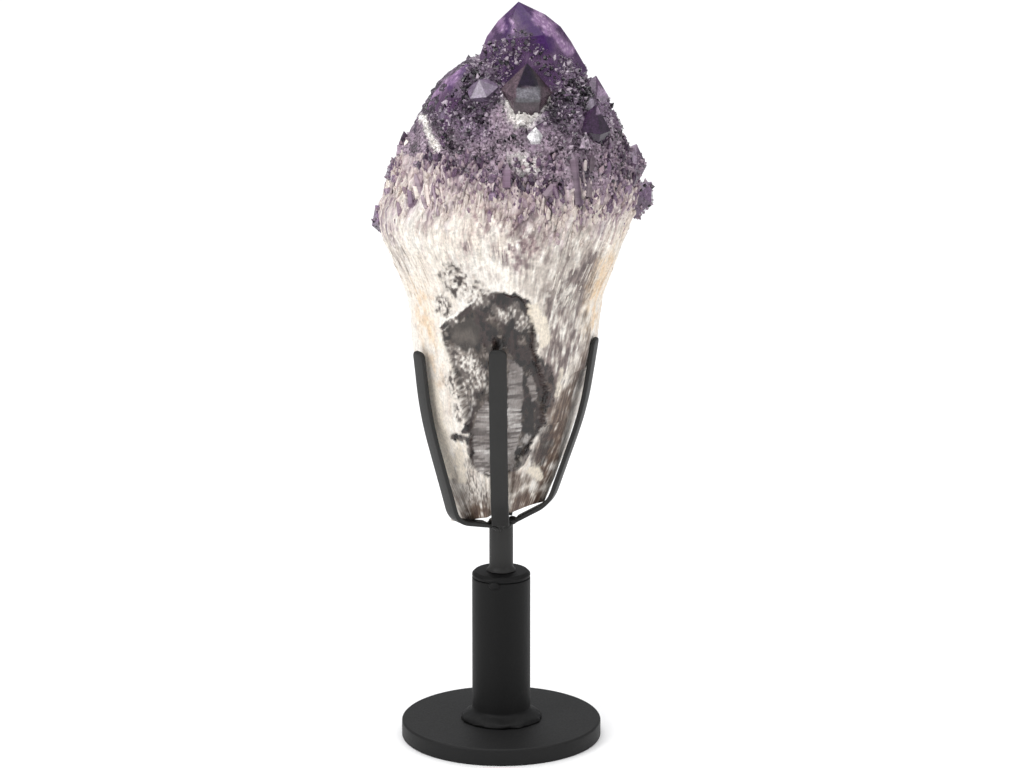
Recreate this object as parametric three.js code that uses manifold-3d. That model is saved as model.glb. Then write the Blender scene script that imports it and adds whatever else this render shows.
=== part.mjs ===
// An amethyst point held upright in a black steel stand. Millimetres, +Z up.
// The origin is the middle of the disc's underside, and -Y is the front.
// An azimuth is in degrees from the front (-Y), positive towards +X.
import * as THREE from "three";
import { mergeVertices } from "three/addons/utils/BufferGeometryUtils.js";
import Module from "manifold-3d";

const wasm = await Module();
wasm.setup();
const { Manifold, Mesh } = wasm;

// Driving dimensions of the stand
const GAP = 0.3; // air left between neighbouring pieces
const DISC_RADIUS = 54.5;
const DISC_THICKNESS = 9.5;
const DISC_EDGE_BREAK = 0.9;
const POST_RADIUS = 15.9;
const POST_WALL = 3.2;
const POST_TOP = 90.4;
const CAP_THICKNESS = 3.1;
const CAP_EDGE_BREAK = 1.1;
const ROD_RADIUS = 6.5;
const ROD_TOP = 119;
const ROD_WELD_RADIUS = 8.4;
const FOOT_WELD_RADIUS = 22.8;
const FOOT_WELD_HEIGHT = 5.4;
const STRAP_WIDTH = 9.5;
const STRAP_THICKNESS = 2.4;
const STRAP_TIP_ROUND = 2.6;
const STRAP_BENDS = [7, 16]; // how far before and after its two corners a strap curves
const TACK = { azimuth: -13.5, height: 89.4, across: 3.2, tall: 2.1, proud: 1.3 };

// Lumps of weld metal at the rod's head, as [azimuth, distance, height, radius]
const WELD_LUMPS = [
  [-58, 6.4, 120.6, 2.6],
  [-30, 5.4, 120, 2.2],
  [-2, 6.4, 121.4, 2.7],
  [36, 5.4, 120.6, 2.4],
  [74, 6.4, 122.4, 2.7],
  [172, 6.4, 121.8, 2.6],
];

// Each strap's middle line from the hub to its tip, as [distance from the axis, height]
const PRONGS = {
  prong_front: { azimuth: -2, line: [[9.4, 122.4], [24.4, 139.8], [41, 190], [48.4, 229.4]] },
  prong_left: { azimuth: -58, line: [[9.6, 121.4], [29.6, 126], [47.2, 187], [51.6, 223.4]] },
  prong_right: { azimuth: 74, line: [[9.4, 123.8], [27.6, 134.6], [46.1, 188], [52.4, 227.8]] },
  prong_back: { azimuth: 172, line: [[9.4, 122.8], [27, 137.5], [43.6, 190], [49.6, 226]] },
};

// The stone's outline, as [height, left, right, front, back].
// Left and right are places on X; front and back are depths from the axis
const OUTLINE = [
  [112, -27.5, 20, 12.5, 19],
  [134, -29.2, 24.4, 17.4, 23],
  [157, -35.6, 32, 26, 29.5],
  [173, -40.6, 37.4, 31.2, 34],
  [186, -43.4, 41.6, 35.2, 37],
  [200, -45.4, 45.8, 38.6, 39.8],
  [223, -47.4, 50.8, 43.4, 43.2],
  [236, -48.6, 52.6, 45.8, 45],
  [250, -50, 54.4, 47.8, 47.2],
  [262, -54.4, 59, 50.4, 50.6],
  [275, -60, 64, 54.2, 55],
  [286, -64.4, 67.4, 57.4, 58],
  [296, -65.4, 70.6, 59, 59.4],
  [306, -60.6, 73, 57.6, 58.6],
  [318, -56.4, 71, 53.6, 55.6],
  [330, -51, 65.6, 48.6, 51],
  [341, -44.6, 58, 43, 45.6],
  [352, -39, 52.4, 36.6, 39.6],
  [362, -34, 46.4, 29.6, 32.6],
  [372, -23, 38.4, 22, 25],
  [380, -8, 29, 14, 16],
];
const FAN = { from: 226, to: 304, columns: 28 }; // where columns stand out of the stone
const ROUNDNESS = 2.2; // a little squarer than an ellipse, which has 2
const AROUND = 42; // points round the body's rings
const RINGS = 25; // and rings from its foot to its top
const UNDERSIDE = { height: 128.2, rise: 0.225, dip: 0.1 }; // it rises to the right and the front

// Flat breaks in the lower stone, as [azimuth, height, depth of the cut, tilt from upright]
const BREAKS = [
  [-34, 146, 1.4, 20],
  [36, 150, 1.8, 20],
  [64, 178, 1.4, 14],
  [118, 165, 2.2, 16],
  [205, 152, 2.4, 15],
  [160, 205, 1.8, 7],
  [-112, 185, 1.6, 12],
];

// The broken window on the front: its outline as [X, height], and its two panes, which meet
// at a ridge that stands up the middle
const WINDOW_OUTLINE = [
  [-31.7, 237],
  [-24, 246],
  [-12, 258],
  [-1.5, 261.5],
  [9.6, 257.5],
  [16.6, 250],
  [18.4, 228],
  [26, 200],
  [23, 184],
  [12, 166],
  [3.5, 155],
  [-7, 153],
  [-16.5, 160],
  [-17.6, 182],
  [-25, 212],
];
const WINDOW = { height: 205, front: -35.6, ridge: -4, turn: 9, lean: 13.6 };

// The larger crystals of the top, as places [X, height, Y] of their roots. Each tips by lean
// towards an azimuth. The first two have shoulders, where their faces turn steeper
const SHOULDER = { radius: 0.72, height: 0.52 }; // shares of the crystal's radius and of its point
const POINTS = [
  { at: [15.6, 359, 0], radius: 31, prism: 14, tip: 34, shoulder: true, lean: 7, toward: -90, spin: 5 },
  { at: [-16, 342, -5], radius: 22, prism: 14, tip: 25, shoulder: true, lean: 4, toward: -99, spin: 9 },
  { at: [-40, 323, -8], radius: 11, prism: 6, tip: 14, lean: 15, toward: -100, spin: 5 },
  { at: [13.6, 360, -25], radius: 12, prism: 5, tip: 14.4, lean: 8, toward: 5, spin: 30 },
  { at: [-10, 355, -26], radius: 9.4, prism: 7, tip: 6, lean: 24, toward: -20, spin: 12 },
  { at: [-27, 341, -25], radius: 8.2, prism: 6.6, tip: 5.4, lean: 28, toward: -40, spin: 40 },
  { at: [47, 337, -23], radius: 10, prism: 7, tip: 13, lean: 12, toward: 50, spin: 30 },
  { at: [47, 350, 2], radius: 9, prism: 8, tip: 9, lean: 12, toward: 100, spin: 10 },
  { at: [56, 332, 5], radius: 8, prism: 8, tip: 8.4, lean: 14, toward: 95, spin: 50 },
  { at: [67, 318, -6], radius: 9, prism: 6, tip: 8.4, lean: 20, toward: 85, spin: 20 },
  { at: [71, 298, 2], radius: 8.8, prism: 6, tip: 8.6, lean: 40, toward: 92, spin: 44 },
  { at: [-53, 311, 2], radius: 8, prism: 4.4, tip: 8, lean: 24, toward: -92, spin: 16 },
  { at: [-60, 290, -4], radius: 9, prism: 3.6, tip: 6.6, lean: 42, toward: -92, spin: 36 },
  { at: [14, 350, 27], radius: 14, prism: 7, tip: 16, lean: 12, toward: 178, spin: 14 },
  { at: [-22, 334, 27], radius: 10, prism: 7, tip: 11, lean: 22, toward: -140, spin: 44 },
  { at: [40, 330, 31], radius: 11, prism: 7, tip: 13, lean: 20, toward: 140, spin: 4 },
];

// Rows of middling crystals from the top down, as [height, how many, radius, lean]
const ROWS = [
  [368, 7, 6.4, 14],
  [356, 9, 6.8, 18],
  [344, 11, 7, 23],
  [331, 12, 7.4, 28],
  [318, 13, 7.4, 33],
  [305, 14, 7.6, 39],
];

const DEG = Math.PI / 180;
const UP = new THREE.Vector3(0, 0, 1);
const clamp = (v, low, high) => Math.min(high, Math.max(low, v));
const mix = (a, b, t) => a + (b - a) * t;
function smooth(a, b, v) {
  const t = clamp((v - a) / (b - a), 0, 1);
  return t * t * (3 - 2 * t);
}

// The same pseudo-random value, 0 to 1, for the same number
function scatter(n) {
  const v = Math.sin(n * 12.9898 + 78.233) * 43758.5453;
  return v - Math.floor(v);
}

// A closed three.js geometry as a solid
function solid(geometry) {
  const bare = geometry.clone();
  bare.deleteAttribute("normal");
  bare.deleteAttribute("uv");
  const merged = mergeVertices(bare, 1e-4);
  return new Manifold(
    new Mesh({
      numProp: 3,
      vertProperties: merged.attributes.position.array,
      triVerts: new Uint32Array(merged.index.array),
    }),
  );
}

// A solid as a three.js geometry
function geometryOf(made) {
  const { vertProperties, triVerts } = made.getMesh();
  const geometry = new THREE.BufferGeometry();
  geometry.setAttribute("position", new THREE.BufferAttribute(vertProperties, 3));
  geometry.setIndex(new THREE.BufferAttribute(triVerts, 1));
  return geometry;
}

// A turned shape: profile is [radius, height] from the bottom up, and both ends lie on the axis
function turned(profile, segments) {
  const points = profile.map(([r, z]) => new THREE.Vector2(r, z));
  return new THREE.LatheGeometry(points, segments).rotateX(Math.PI / 2);
}

// The disc: plate steel with its edges broken
function makeDisc() {
  const profile = [
    [0, 0],
    [DISC_RADIUS, 0],
    [DISC_RADIUS, DISC_THICKNESS - DISC_EDGE_BREAK],
    [DISC_RADIUS - DISC_EDGE_BREAK, DISC_THICKNESS],
    [0, DISC_THICKNESS],
  ];
  return solid(turned(profile, 64));
}

// The post: a tube with the fillet of weld round its foot
function makePost() {
  const foot = DISC_THICKNESS + GAP;
  const profile = [
    [0, foot],
    [FOOT_WELD_RADIUS, foot],
    [FOOT_WELD_RADIUS - 1.6, foot + 1.8],
    [mix(FOOT_WELD_RADIUS, POST_RADIUS, 0.62), foot + 3.8],
    [POST_RADIUS, foot + FOOT_WELD_HEIGHT],
    [POST_RADIUS, POST_TOP],
    [0, POST_TOP],
  ];
  const inner = POST_RADIUS - POST_WALL;
  const bore = new THREE.CylinderGeometry(inner, inner, 3 * POST_TOP, 32).rotateX(Math.PI / 2);
  return solid(turned(profile, 40)).subtract(solid(bore));
}

// The tack: the one bead of weld that holds the cap to the post
function makeTack(grown) {
  const bead = new THREE.SphereGeometry(1, 10, 6)
    .scale(TACK.across + grown, TACK.proud + grown, TACK.tall + grown)
    .translate(0, -POST_RADIUS, TACK.height)
    .rotateZ(TACK.azimuth * DEG);
  return solid(bead);
}

// The cap: a round plate that closes the post
function makeCap() {
  const low = POST_TOP + GAP;
  const top = low + CAP_THICKNESS;
  const profile = [
    [0, low],
    [POST_RADIUS, low],
    [POST_RADIUS, top - CAP_EDGE_BREAK],
    [POST_RADIUS - CAP_EDGE_BREAK, top],
    [0, top],
  ];
  return solid(turned(profile, 40)).add(makeTack(0));
}

// The rod: a round bar, the weld at its foot and the lumpy weld at its head
function makeRod() {
  const foot = POST_TOP + CAP_THICKNESS + 2 * GAP;
  const profile = [
    [0, foot],
    [ROD_WELD_RADIUS, foot],
    [ROD_RADIUS, foot + 1.6],
    [ROD_RADIUS, ROD_TOP],
    [ROD_RADIUS - 0.6, ROD_TOP + 3.4],
    [ROD_RADIUS - 3, ROD_TOP + 5.2],
    [0, ROD_TOP + 5.8],
  ];
  const lumps = WELD_LUMPS.map(([azimuth, distance, height, radius]) => {
    const lump = new THREE.SphereGeometry(radius, 7, 5).translate(0, -distance, height);
    return solid(lump.rotateZ(azimuth * DEG));
  });
  return lumps.reduce((made, lump) => made.add(lump), solid(turned(profile, 24)));
}

// A strap's middle line with its corners rounded
function bentLine(line) {
  const [hub, first, second, tip] = line.map(([r, z]) => new THREE.Vector2(r, z));
  const away = (from, to, reach) => from.clone().add(to.clone().sub(from).setLength(reach));
  const [firstBend, secondBend] = STRAP_BENDS;
  const into = away(first, hub, firstBend);
  const out = away(first, second, firstBend);
  const curves = [
    new THREE.QuadraticBezierCurve(into, first, out),
    new THREE.QuadraticBezierCurve(away(second, first, secondBend), second, away(second, tip, secondBend)),
  ];
  return [hub, ...curves.flatMap((curve) => curve.getPoints(5)), tip];
}

// The middle line moved sideways by away
function beside(points, away) {
  return points.map((p, i) => {
    const before = points[Math.max(0, i - 1)];
    const after = points[Math.min(points.length - 1, i + 1)];
    const along = after.clone().sub(before).normalize();
    return new THREE.Vector2(p.x - along.y * away, p.y + along.x * away);
  });
}

// A flat strap bent to its line, standing at azimuth 0
function makeStrap(line, width, thickness) {
  const middle = bentLine(line);
  const outline = [...beside(middle, -thickness / 2), ...beside(middle, thickness / 2).reverse()];
  const strap = new THREE.ExtrudeGeometry(new THREE.Shape(outline), { depth: width, bevelEnabled: false });
  return solid(strap.translate(0, 0, -width / 2).rotateX(Math.PI / 2).rotateZ(-Math.PI / 2));
}

// A prong: a strap whose tip is ground round
function makeProng({ azimuth, line }) {
  const half = STRAP_WIDTH / 2 + 0.05;
  const top = line[3][1] + STRAP_THICKNESS / 4;
  const face = new THREE.Shape()
    .moveTo(-half, line[0][1] - 20)
    .lineTo(half, line[0][1] - 20)
    .lineTo(half, top - STRAP_TIP_ROUND)
    .quadraticCurveTo(half, top, half - STRAP_TIP_ROUND, top)
    .lineTo(STRAP_TIP_ROUND - half, top)
    .quadraticCurveTo(-half, top, -half, top - STRAP_TIP_ROUND);
  const slab = new THREE.ExtrudeGeometry(face, { depth: 120, bevelEnabled: false, curveSegments: 4 });
  return makeStrap(line, STRAP_WIDTH, STRAP_THICKNESS)
    .intersect(solid(slab.rotateX(Math.PI / 2)))
    .rotate([0, 0, azimuth]);
}

// The room that a prong takes out of the stone
function makeRoom({ azimuth, line }) {
  const longer = [...line.slice(0, 3), [line[3][0] + 0.8, line[3][1] + 3]];
  return makeStrap(longer, STRAP_WIDTH + 2 * GAP, STRAP_THICKNESS + 2 * GAP).rotate([0, 0, azimuth]);
}

// The outline at a height: the axis, its half width and its two depths
function outlineAt(height) {
  const z = clamp(height, OUTLINE[0][0], OUTLINE[OUTLINE.length - 1][0] - 0.001);
  const i = OUTLINE.findIndex((row) => row[0] > z);
  const [low, high] = [OUTLINE[i - 1], OUTLINE[i]];
  const t = (z - low[0]) / (high[0] - low[0]);
  const [left, right, front, back] = [1, 2, 3, 4].map((column) => mix(low[column], high[column], t));
  return { middle: (left + right) / 2, half: (right - left) / 2, front, back };
}

// A place on the stone's plain outline, moved out by proud
function onStone(azimuth, height, proud = 0) {
  const { middle, half, front, back } = outlineAt(height);
  const [across, forward] = [Math.sin(azimuth * DEG), Math.cos(azimuth * DEG)];
  const depth = forward > 0 ? front : back;
  const sum = Math.abs(across / half) ** ROUNDNESS + Math.abs(forward / depth) ** ROUNDNESS;
  const reach = sum ** (-1 / ROUNDNESS);
  return new THREE.Vector3(middle + across * (reach + proud), -forward * (reach + proud), height);
}

// How far the skin stands out of the outline: broad lumps, and the ribs of the fan
function relief(column, ring, height) {
  const turn = (column / AROUND) * 2 * Math.PI;
  const lumps = Math.sin(3 * turn + height * 0.045) + Math.sin(5 * turn - height * 0.07 + 1.3);
  const fan = smooth(FAN.from, FAN.to, height);
  const rib = (scatter(column * 7.1) - 0.6) * 4.6 * fan;
  const grain = (scatter(column * 3.7 + ring * 17.9) - 0.5) * mix(0.9, 4.2, fan);
  return lumps * mix(0.9, 0.5, fan) + rib + grain;
}

// The body: rings of points from the foot to under the crystals of the top
function makeBody() {
  const [low, high] = [OUTLINE[0][0], OUTLINE[OUTLINE.length - 1][0]];
  const points = [];
  for (let ring = 0; ring <= RINGS; ring++) {
    const height = mix(low, high, ring / RINGS);
    for (let column = 0; column < AROUND; column++) {
      const azimuth = ((column + 0.5 * (ring % 2)) * 360) / AROUND;
      points.push(onStone(azimuth, height, relief(column, ring, height)));
    }
  }
  const foot = points.push(new THREE.Vector3(outlineAt(low).middle, 0, low)) - 1;
  const crown = points.push(new THREE.Vector3(outlineAt(high).middle, 0, high + 4)) - 1;
  const faces = [];
  for (let column = 0; column < AROUND; column++) {
    const next = (column + 1) % AROUND;
    faces.push(foot, next, column);
    faces.push(crown, RINGS * AROUND + column, RINGS * AROUND + next);
    for (let ring = 0; ring < RINGS; ring++) {
      const [a, b] = [ring * AROUND + column, ring * AROUND + next];
      const [c, d] = [a + AROUND, b + AROUND];
      if (ring % 2) faces.push(a, b, d, a, d, c);
      else faces.push(a, b, c, b, d, c);
    }
  }
  const geometry = new THREE.BufferGeometry().setFromPoints(points);
  geometry.setIndex(faces);
  return solid(geometry);
}

// A quartz crystal: a six-sided prism and its six-sided point, standing on its root
function makeCrystal({ root, direction, radius, prism, tip, shoulder, spin, sunk = 6 }) {
  const profile = [
    [0, -sunk],
    [radius * 0.85, -sunk],
    [radius, prism],
    [0, prism + tip],
  ];
  if (shoulder) profile.splice(3, 0, [radius * SHOULDER.radius, prism + tip * SHOULDER.height]);
  const shape = turned(profile, 6).rotateZ(spin * DEG);
  shape.applyQuaternion(new THREE.Quaternion().setFromUnitVectors(UP, direction));
  return solid(shape.translate(root.x, root.y, root.z));
}

// The direction that tips by lean from upright towards an azimuth
function tipped(lean, azimuth) {
  const side = Math.sin(lean * DEG);
  const direction = [side * Math.sin(azimuth * DEG), -side * Math.cos(azimuth * DEG), Math.cos(lean * DEG)];
  return new THREE.Vector3(...direction);
}

function makeLargePoints() {
  return POINTS.map(({ at, lean, toward, ...size }) => {
    const root = new THREE.Vector3(at[0], at[2], at[1]);
    return makeCrystal({ ...size, root, direction: tipped(lean, toward) });
  });
}

function makeRows() {
  const crystals = [];
  ROWS.forEach(([height, count, size, lean], row) => {
    for (let i = 0; i < count; i++) {
      const chance = (n) => scatter(row * 31 + i * 5.3 + n);
      const azimuth = ((i + 0.5 * (row % 2) + 0.5 * (chance(1) - 0.5)) * 360) / count;
      const radius = size * mix(0.7, 1.25, chance(2));
      crystals.push(
        makeCrystal({
          root: onStone(azimuth, height + 8 * (chance(3) - 0.5), -3.6),
          direction: tipped(lean + 16 * (chance(4) - 0.5), azimuth + 24 * (chance(5) - 0.5)),
          radius,
          prism: 1.4 + 2.6 * chance(6),
          tip: radius * mix(0.8, 1.25, chance(7)),
          spin: 60 * chance(8),
        }),
      );
    }
  });
  return crystals;
}

// Long thin crystals that stand out of the fan, each from low on the stone to its rim
function makeColumns() {
  return Array.from({ length: FAN.columns }, (_, i) => {
    const chance = (n) => scatter(i * 9.7 + n);
    const azimuth = ((i + 0.7 * (chance(1) - 0.5)) * 360) / FAN.columns;
    const radius = mix(3, 5.6, chance(5));
    const root = onStone(azimuth, mix(FAN.from, FAN.from + 34, chance(2)), -radius);
    const end = onStone(azimuth + 6 * (chance(3) - 0.5), mix(FAN.to - 24, FAN.to, chance(4)), -0.3 * radius);
    const direction = end.clone().sub(root);
    const prism = direction.length();
    return makeCrystal({
      root,
      direction: direction.normalize(),
      radius,
      prism,
      tip: radius * 1.3,
      spin: 60 * chance(6),
      sunk: 2,
    });
  });
}

// The wedge of stone that has broken out of the window, down to two panes and their low ridge
function makeWindow() {
  const outline = WINDOW_OUTLINE.map(([x, z]) => new THREE.Vector2(x - WINDOW.ridge, z - WINDOW.height));
  const wedge = new THREE.ExtrudeGeometry(new THREE.Shape(outline), { depth: 30, bevelEnabled: false });
  const pane = solid(wedge.rotateX(Math.PI / 2));
  return pane
    .rotate([0, 0, -WINDOW.turn])
    .add(pane.rotate([0, 0, WINDOW.turn]))
    .rotate([-WINDOW.lean, 0, 0])
    .translate([WINDOW.ridge, WINDOW.front, WINDOW.height]);
}

// A slab that cuts off everything outside one flat break
function makeBreak([azimuth, height, depth, tilt]) {
  const size = 70;
  const slab = new THREE.BoxGeometry(size, size, size).translate(0, -size / 2, 0).rotateX(tilt * DEG);
  const place = onStone(azimuth, height, -depth);
  return solid(slab.rotateZ(azimuth * DEG).translate(place.x, place.y, place.z));
}

function makeUnderside() {
  const size = 200;
  const slab = new THREE.BoxGeometry(size, size, size)
    .translate(0, 0, -size / 2)
    .rotateX(-Math.atan(UNDERSIDE.dip))
    .rotateY(-Math.atan(UNDERSIDE.rise));
  return solid(slab.translate(0, 0, UNDERSIDE.height));
}

// The stone: one body with all its crystals, less what has broken away and the prongs' room
function makeStone() {
  const crystals = [...makeLargePoints(), ...makeRows(), ...makeColumns()];
  const cuts = [makeUnderside(), makeWindow(), ...Object.values(PRONGS).map(makeRoom)];
  const body = BREAKS.reduce((made, flat) => made.subtract(makeBreak(flat)), makeBody());
  const grown = crystals.reduce((made, crystal) => made.add(crystal), body);
  return cuts.reduce((made, cut) => made.subtract(cut), grown);
}

const blackSteel = new THREE.MeshStandardMaterial({ color: "#3a3a3b", roughness: 0.62, metalness: 0.35 });
const amethyst = new THREE.MeshStandardMaterial({ color: "#a597a8", roughness: 0.4, metalness: 0 });

const group = new THREE.Group();
function place(name, made, material) {
  const mesh = new THREE.Mesh(geometryOf(made), material);
  mesh.name = name;
  group.add(mesh);
}

place("base_disc", makeDisc(), blackSteel);
place("post_tube", makePost().subtract(makeTack(GAP)), blackSteel);
place("post_cap", makeCap(), blackSteel);
place("rod", makeRod(), blackSteel);
for (const [name, prong] of Object.entries(PRONGS)) place(name, makeProng(prong), blackSteel);
place("amethyst_point", makeStone(), amethyst);

export default group;
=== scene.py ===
# An amethyst point in a black steel stand. Sizes are millimetres until a mesh is made from them.
import math
from itertools import product

import bmesh
import bpy
import numpy as np
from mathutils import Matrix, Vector


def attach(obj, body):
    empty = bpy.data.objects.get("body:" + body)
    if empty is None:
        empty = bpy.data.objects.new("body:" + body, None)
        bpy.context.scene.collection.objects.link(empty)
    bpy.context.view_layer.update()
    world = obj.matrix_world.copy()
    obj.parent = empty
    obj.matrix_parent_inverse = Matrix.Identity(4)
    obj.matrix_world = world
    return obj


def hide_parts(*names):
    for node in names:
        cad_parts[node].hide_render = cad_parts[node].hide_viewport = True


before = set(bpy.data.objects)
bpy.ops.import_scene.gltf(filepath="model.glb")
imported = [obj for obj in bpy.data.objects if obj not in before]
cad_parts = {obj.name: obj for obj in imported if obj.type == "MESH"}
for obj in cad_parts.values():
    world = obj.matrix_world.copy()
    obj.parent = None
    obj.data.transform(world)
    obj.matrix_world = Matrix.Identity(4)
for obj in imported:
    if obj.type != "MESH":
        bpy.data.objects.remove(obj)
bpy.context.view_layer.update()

MM = 0.001


# Studio
# A camera at the photograph's height and distance, a pale floor that fills its view, and soft
# boxes to the left, right and above, as for a catalogue picture on white.
CAMERA_PLACE = (5.88, -2345.3, 809.3)
CAMERA_TILT = 14.6  # degrees below level
FOCAL_PIXELS = 4500
FRAME_PIXELS = 1024

camera_data = bpy.data.cameras.new("camera")
camera_data.sensor_width = 36
camera_data.lens = FOCAL_PIXELS * camera_data.sensor_width / FRAME_PIXELS
camera = bpy.data.objects.new("camera", camera_data)
camera.location = [v * MM for v in CAMERA_PLACE]
camera.rotation_euler = (math.radians(90 - CAMERA_TILT), 0, 0)
bpy.context.scene.collection.objects.link(camera)
bpy.context.scene.camera = camera
bpy.context.scene.view_settings.view_transform = "Standard"


def linear(code):
    """The linear colour of an sRGB hex code, for a shader's socket."""
    parts = [int(code[i : i + 2], 16) / 255 for i in (1, 3, 5)]
    return (*[v / 12.92 if v <= 0.04045 else ((v + 0.055) / 1.055) ** 2.4 for v in parts], 1)


def add_node(material, kind, settings=None, **inputs):
    """Adds a node to a material or a world. An input is a value, or a socket to link from."""
    tree = material.node_tree
    node = tree.nodes.new(kind)
    for name, value in (settings or {}).items():
        setattr(node, name, value)
    for name, value in inputs.items():
        key = int(name[1:]) if name[0] == "i" and name[1:].isdigit() else name.replace("_", " ")
        if isinstance(value, bpy.types.NodeSocket):
            tree.links.new(value, node.inputs[key])
        else:
            node.inputs[key].default_value = value
    return node


def new_material(name):
    """A material with nothing but its output, and that output."""
    material = bpy.data.materials.new(name)
    material.use_nodes = True
    material.node_tree.nodes.clear()
    return material, material.node_tree.nodes.new("ShaderNodeOutputMaterial")


def show_surface(material, output, shader):
    material.node_tree.links.new(shader.outputs["BSDF"], output.inputs["Surface"])


def add_softbox(name, place, size, power, aim=(0, 0, 240)):
    light = bpy.data.lights.new(name, "AREA")
    light.shape = "RECTANGLE"
    light.size = size[0] * MM
    light.size_y = size[1] * MM
    light.energy = power
    box = bpy.data.objects.new(name, light)
    box.location = [v * MM for v in place]
    towards = Vector([(a - p) * MM for a, p in zip(aim, place)])
    box.rotation_euler = towards.to_track_quat("-Z", "Y").to_euler()
    bpy.context.scene.collection.objects.link(box)


add_softbox("key_softbox", (-1500, -1300, 1300), (900, 1300), 19)
add_softbox("fill_softbox", (1600, -1100, 900), (700, 1200), 6)
add_softbox("back_softbox", (-300, 1500, 2100), (1200, 900), 9)

overhead = bpy.data.lights.new("overhead_bank", "SUN")
overhead.energy = 2.1
overhead.angle = math.radians(70)
overhead_lamp = bpy.data.objects.new("overhead_bank", overhead)
bpy.context.scene.collection.objects.link(overhead_lamp)

world = bpy.data.worlds.new("studio_air")
world.use_nodes = True
world.node_tree.nodes["Background"].inputs["Color"].default_value = linear("#f6f7fa")
world.node_tree.nodes["Background"].inputs["Strength"].default_value = 0.42
bpy.context.scene.world = world

floor_mesh = bpy.data.meshes.new("floor")
FLOOR_HALF = 9000 * MM
FLOOR_CORNERS = ((-1, -1), (1, -1), (1, 1), (-1, 1))
floor_mesh.from_pydata([(x * FLOOR_HALF, y * FLOOR_HALF, 0) for x, y in FLOOR_CORNERS], [], [(0, 1, 2, 3)])
floor = bpy.data.objects.new("floor", floor_mesh)
bpy.context.scene.collection.objects.link(floor)
paper, paper_output = new_material("white_paper_sweep")
show_surface(paper, paper_output, add_node(paper, "ShaderNodeBsdfPrincipled", Base_Color=linear("#f7f7f7"),
                                           Roughness=0.9))
floor_mesh.materials.append(paper)


# Black steel
# The stand is mild steel, welded, blasted and powder coated in satin black. The coat flows out
# into soft grains a little under a millimetre across, which break up its highlights.
GRAIN_SIZE = 0.9
CLOUD_SIZE = 22


def steel_coat(name, black, worn, shine):
    """A powder coat that wanders between two near blacks."""
    material, output = new_material(name)
    place = add_node(material, "ShaderNodeTexCoord").outputs["Object"]
    grain = add_node(material, "ShaderNodeTexNoise", Vector=place, Scale=1 / (GRAIN_SIZE * MM), Detail=3.0)
    cloud = add_node(material, "ShaderNodeTexNoise", Vector=place, Scale=1 / (CLOUD_SIZE * MM), Detail=4.0)
    colour = add_node(material, "ShaderNodeMix", {"data_type": "RGBA"}, i0=cloud.outputs["Fac"],
                      i6=linear(black), i7=linear(worn))
    rough = add_node(material, "ShaderNodeMapRange", Value=grain.outputs["Fac"], To_Min=0.44, To_Max=0.66)
    bump = add_node(material, "ShaderNodeBump", Height=grain.outputs["Fac"], Strength=0.35,
                    Distance=0.12 * MM)
    shader = add_node(material, "ShaderNodeBsdfPrincipled", Base_Color=colour.outputs[2], IOR=1.5,
                      Roughness=rough.outputs["Result"], Specular_IOR_Level=shine,
                      Normal=bump.outputs["Normal"])
    show_surface(material, output, shader)
    return material


# One coat, painted in three shades for how the light falls on it. The tube and its cap are in painted shade
# and nearly jet black. The disc lies flat under the lights and is painted a shade greyer. The bars, lit from
# the front, are painted the greyest.
shaded_tube_coat = steel_coat("powder_coated_steel_tube", "#0a0a0a", "#101010", 0.2)
lit_plate_coat = steel_coat("powder_coated_steel_plate", "#181818", "#1e1e1e", 0.2)
lit_bar_coat = steel_coat("powder_coated_steel_bar", "#232322", "#2f2e2d", 0.3)


def add_piece(name, points, faces, material, node, smooth=True):
    """A piece of the object from its points in millimetres, standing for one CAD node."""
    mesh = bpy.data.meshes.new(name)
    mesh.from_pydata((np.asarray(points, float) * MM).tolist(), [], faces)
    mesh.materials.append(material)
    mesh.polygons.foreach_set("use_smooth", [smooth and len(face) < 5 for face in faces])
    mesh.update()
    piece = bpy.data.objects.new(name, mesh)
    bpy.context.scene.collection.objects.link(piece)
    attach(piece, "root")
    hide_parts(node)
    return piece


def grid_faces(rows, columns):
    """Faces between rows of points that each close into a ring, with a cap on both ends."""
    ring = np.arange(columns)
    after = (ring + 1) % columns
    faces = [list(map(int, ring[::-1]))]
    for row in range(rows - 1):
        low = row * columns
        high = low + columns
        faces += np.stack([low + ring, low + after, high + after, high + ring], 1).tolist()
    faces.append([int((rows - 1) * columns + i) for i in ring])
    return faces


def rounded(profile, radius, steps=5):
    """A profile of [radius, height] with its corners rounded, apart from its two ends."""
    points = [Vector(profile[0])]
    for before, corner, after in zip(profile, profile[1:], profile[2:]):
        corner = Vector(corner)
        to_before = Vector(before) - corner
        to_after = Vector(after) - corner
        reach = min(radius, to_before.length * 0.45, to_after.length * 0.45)
        start = corner + to_before.normalized() * reach
        end = corner + to_after.normalized() * reach
        for step in range(steps + 1):
            t = step / steps
            points.append(start * (1 - t) ** 2 + corner * 2 * t * (1 - t) + end * t * t)
    points.append(Vector(profile[-1]))
    return points


def turned(profile, columns, uneven=None):
    """Points and faces of a turned piece. uneven(points) may move its points a little."""
    turn = np.arange(columns) * 2 * np.pi / columns
    points = [[(p[0] * math.sin(a), -p[0] * math.cos(a), p[1]) for a in turn] for p in profile]
    points = np.array(points).reshape(-1, 3)
    if uneven:
        points = uneven(points)
    return points, grid_faces(len(profile), columns)


# Base disc
# A round blank of 10 mm plate, with its edges taken off on a grinder before the coat.
DISC_RADIUS = 54.5
DISC_THICK = 9.5
disc_profile = rounded(
    [(20, 0), (DISC_RADIUS - 0.5, 0), (DISC_RADIUS, 0.5), (DISC_RADIUS, DISC_THICK - 0.8),
     (DISC_RADIUS - 0.8, DISC_THICK), (20, DISC_THICK)], 0.35)
disc_profile = [(0.02, 0), *disc_profile, (0.02, DISC_THICK)]
add_piece("base_plate", *turned(disc_profile, 200), lit_plate_coat, "base_disc")


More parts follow.
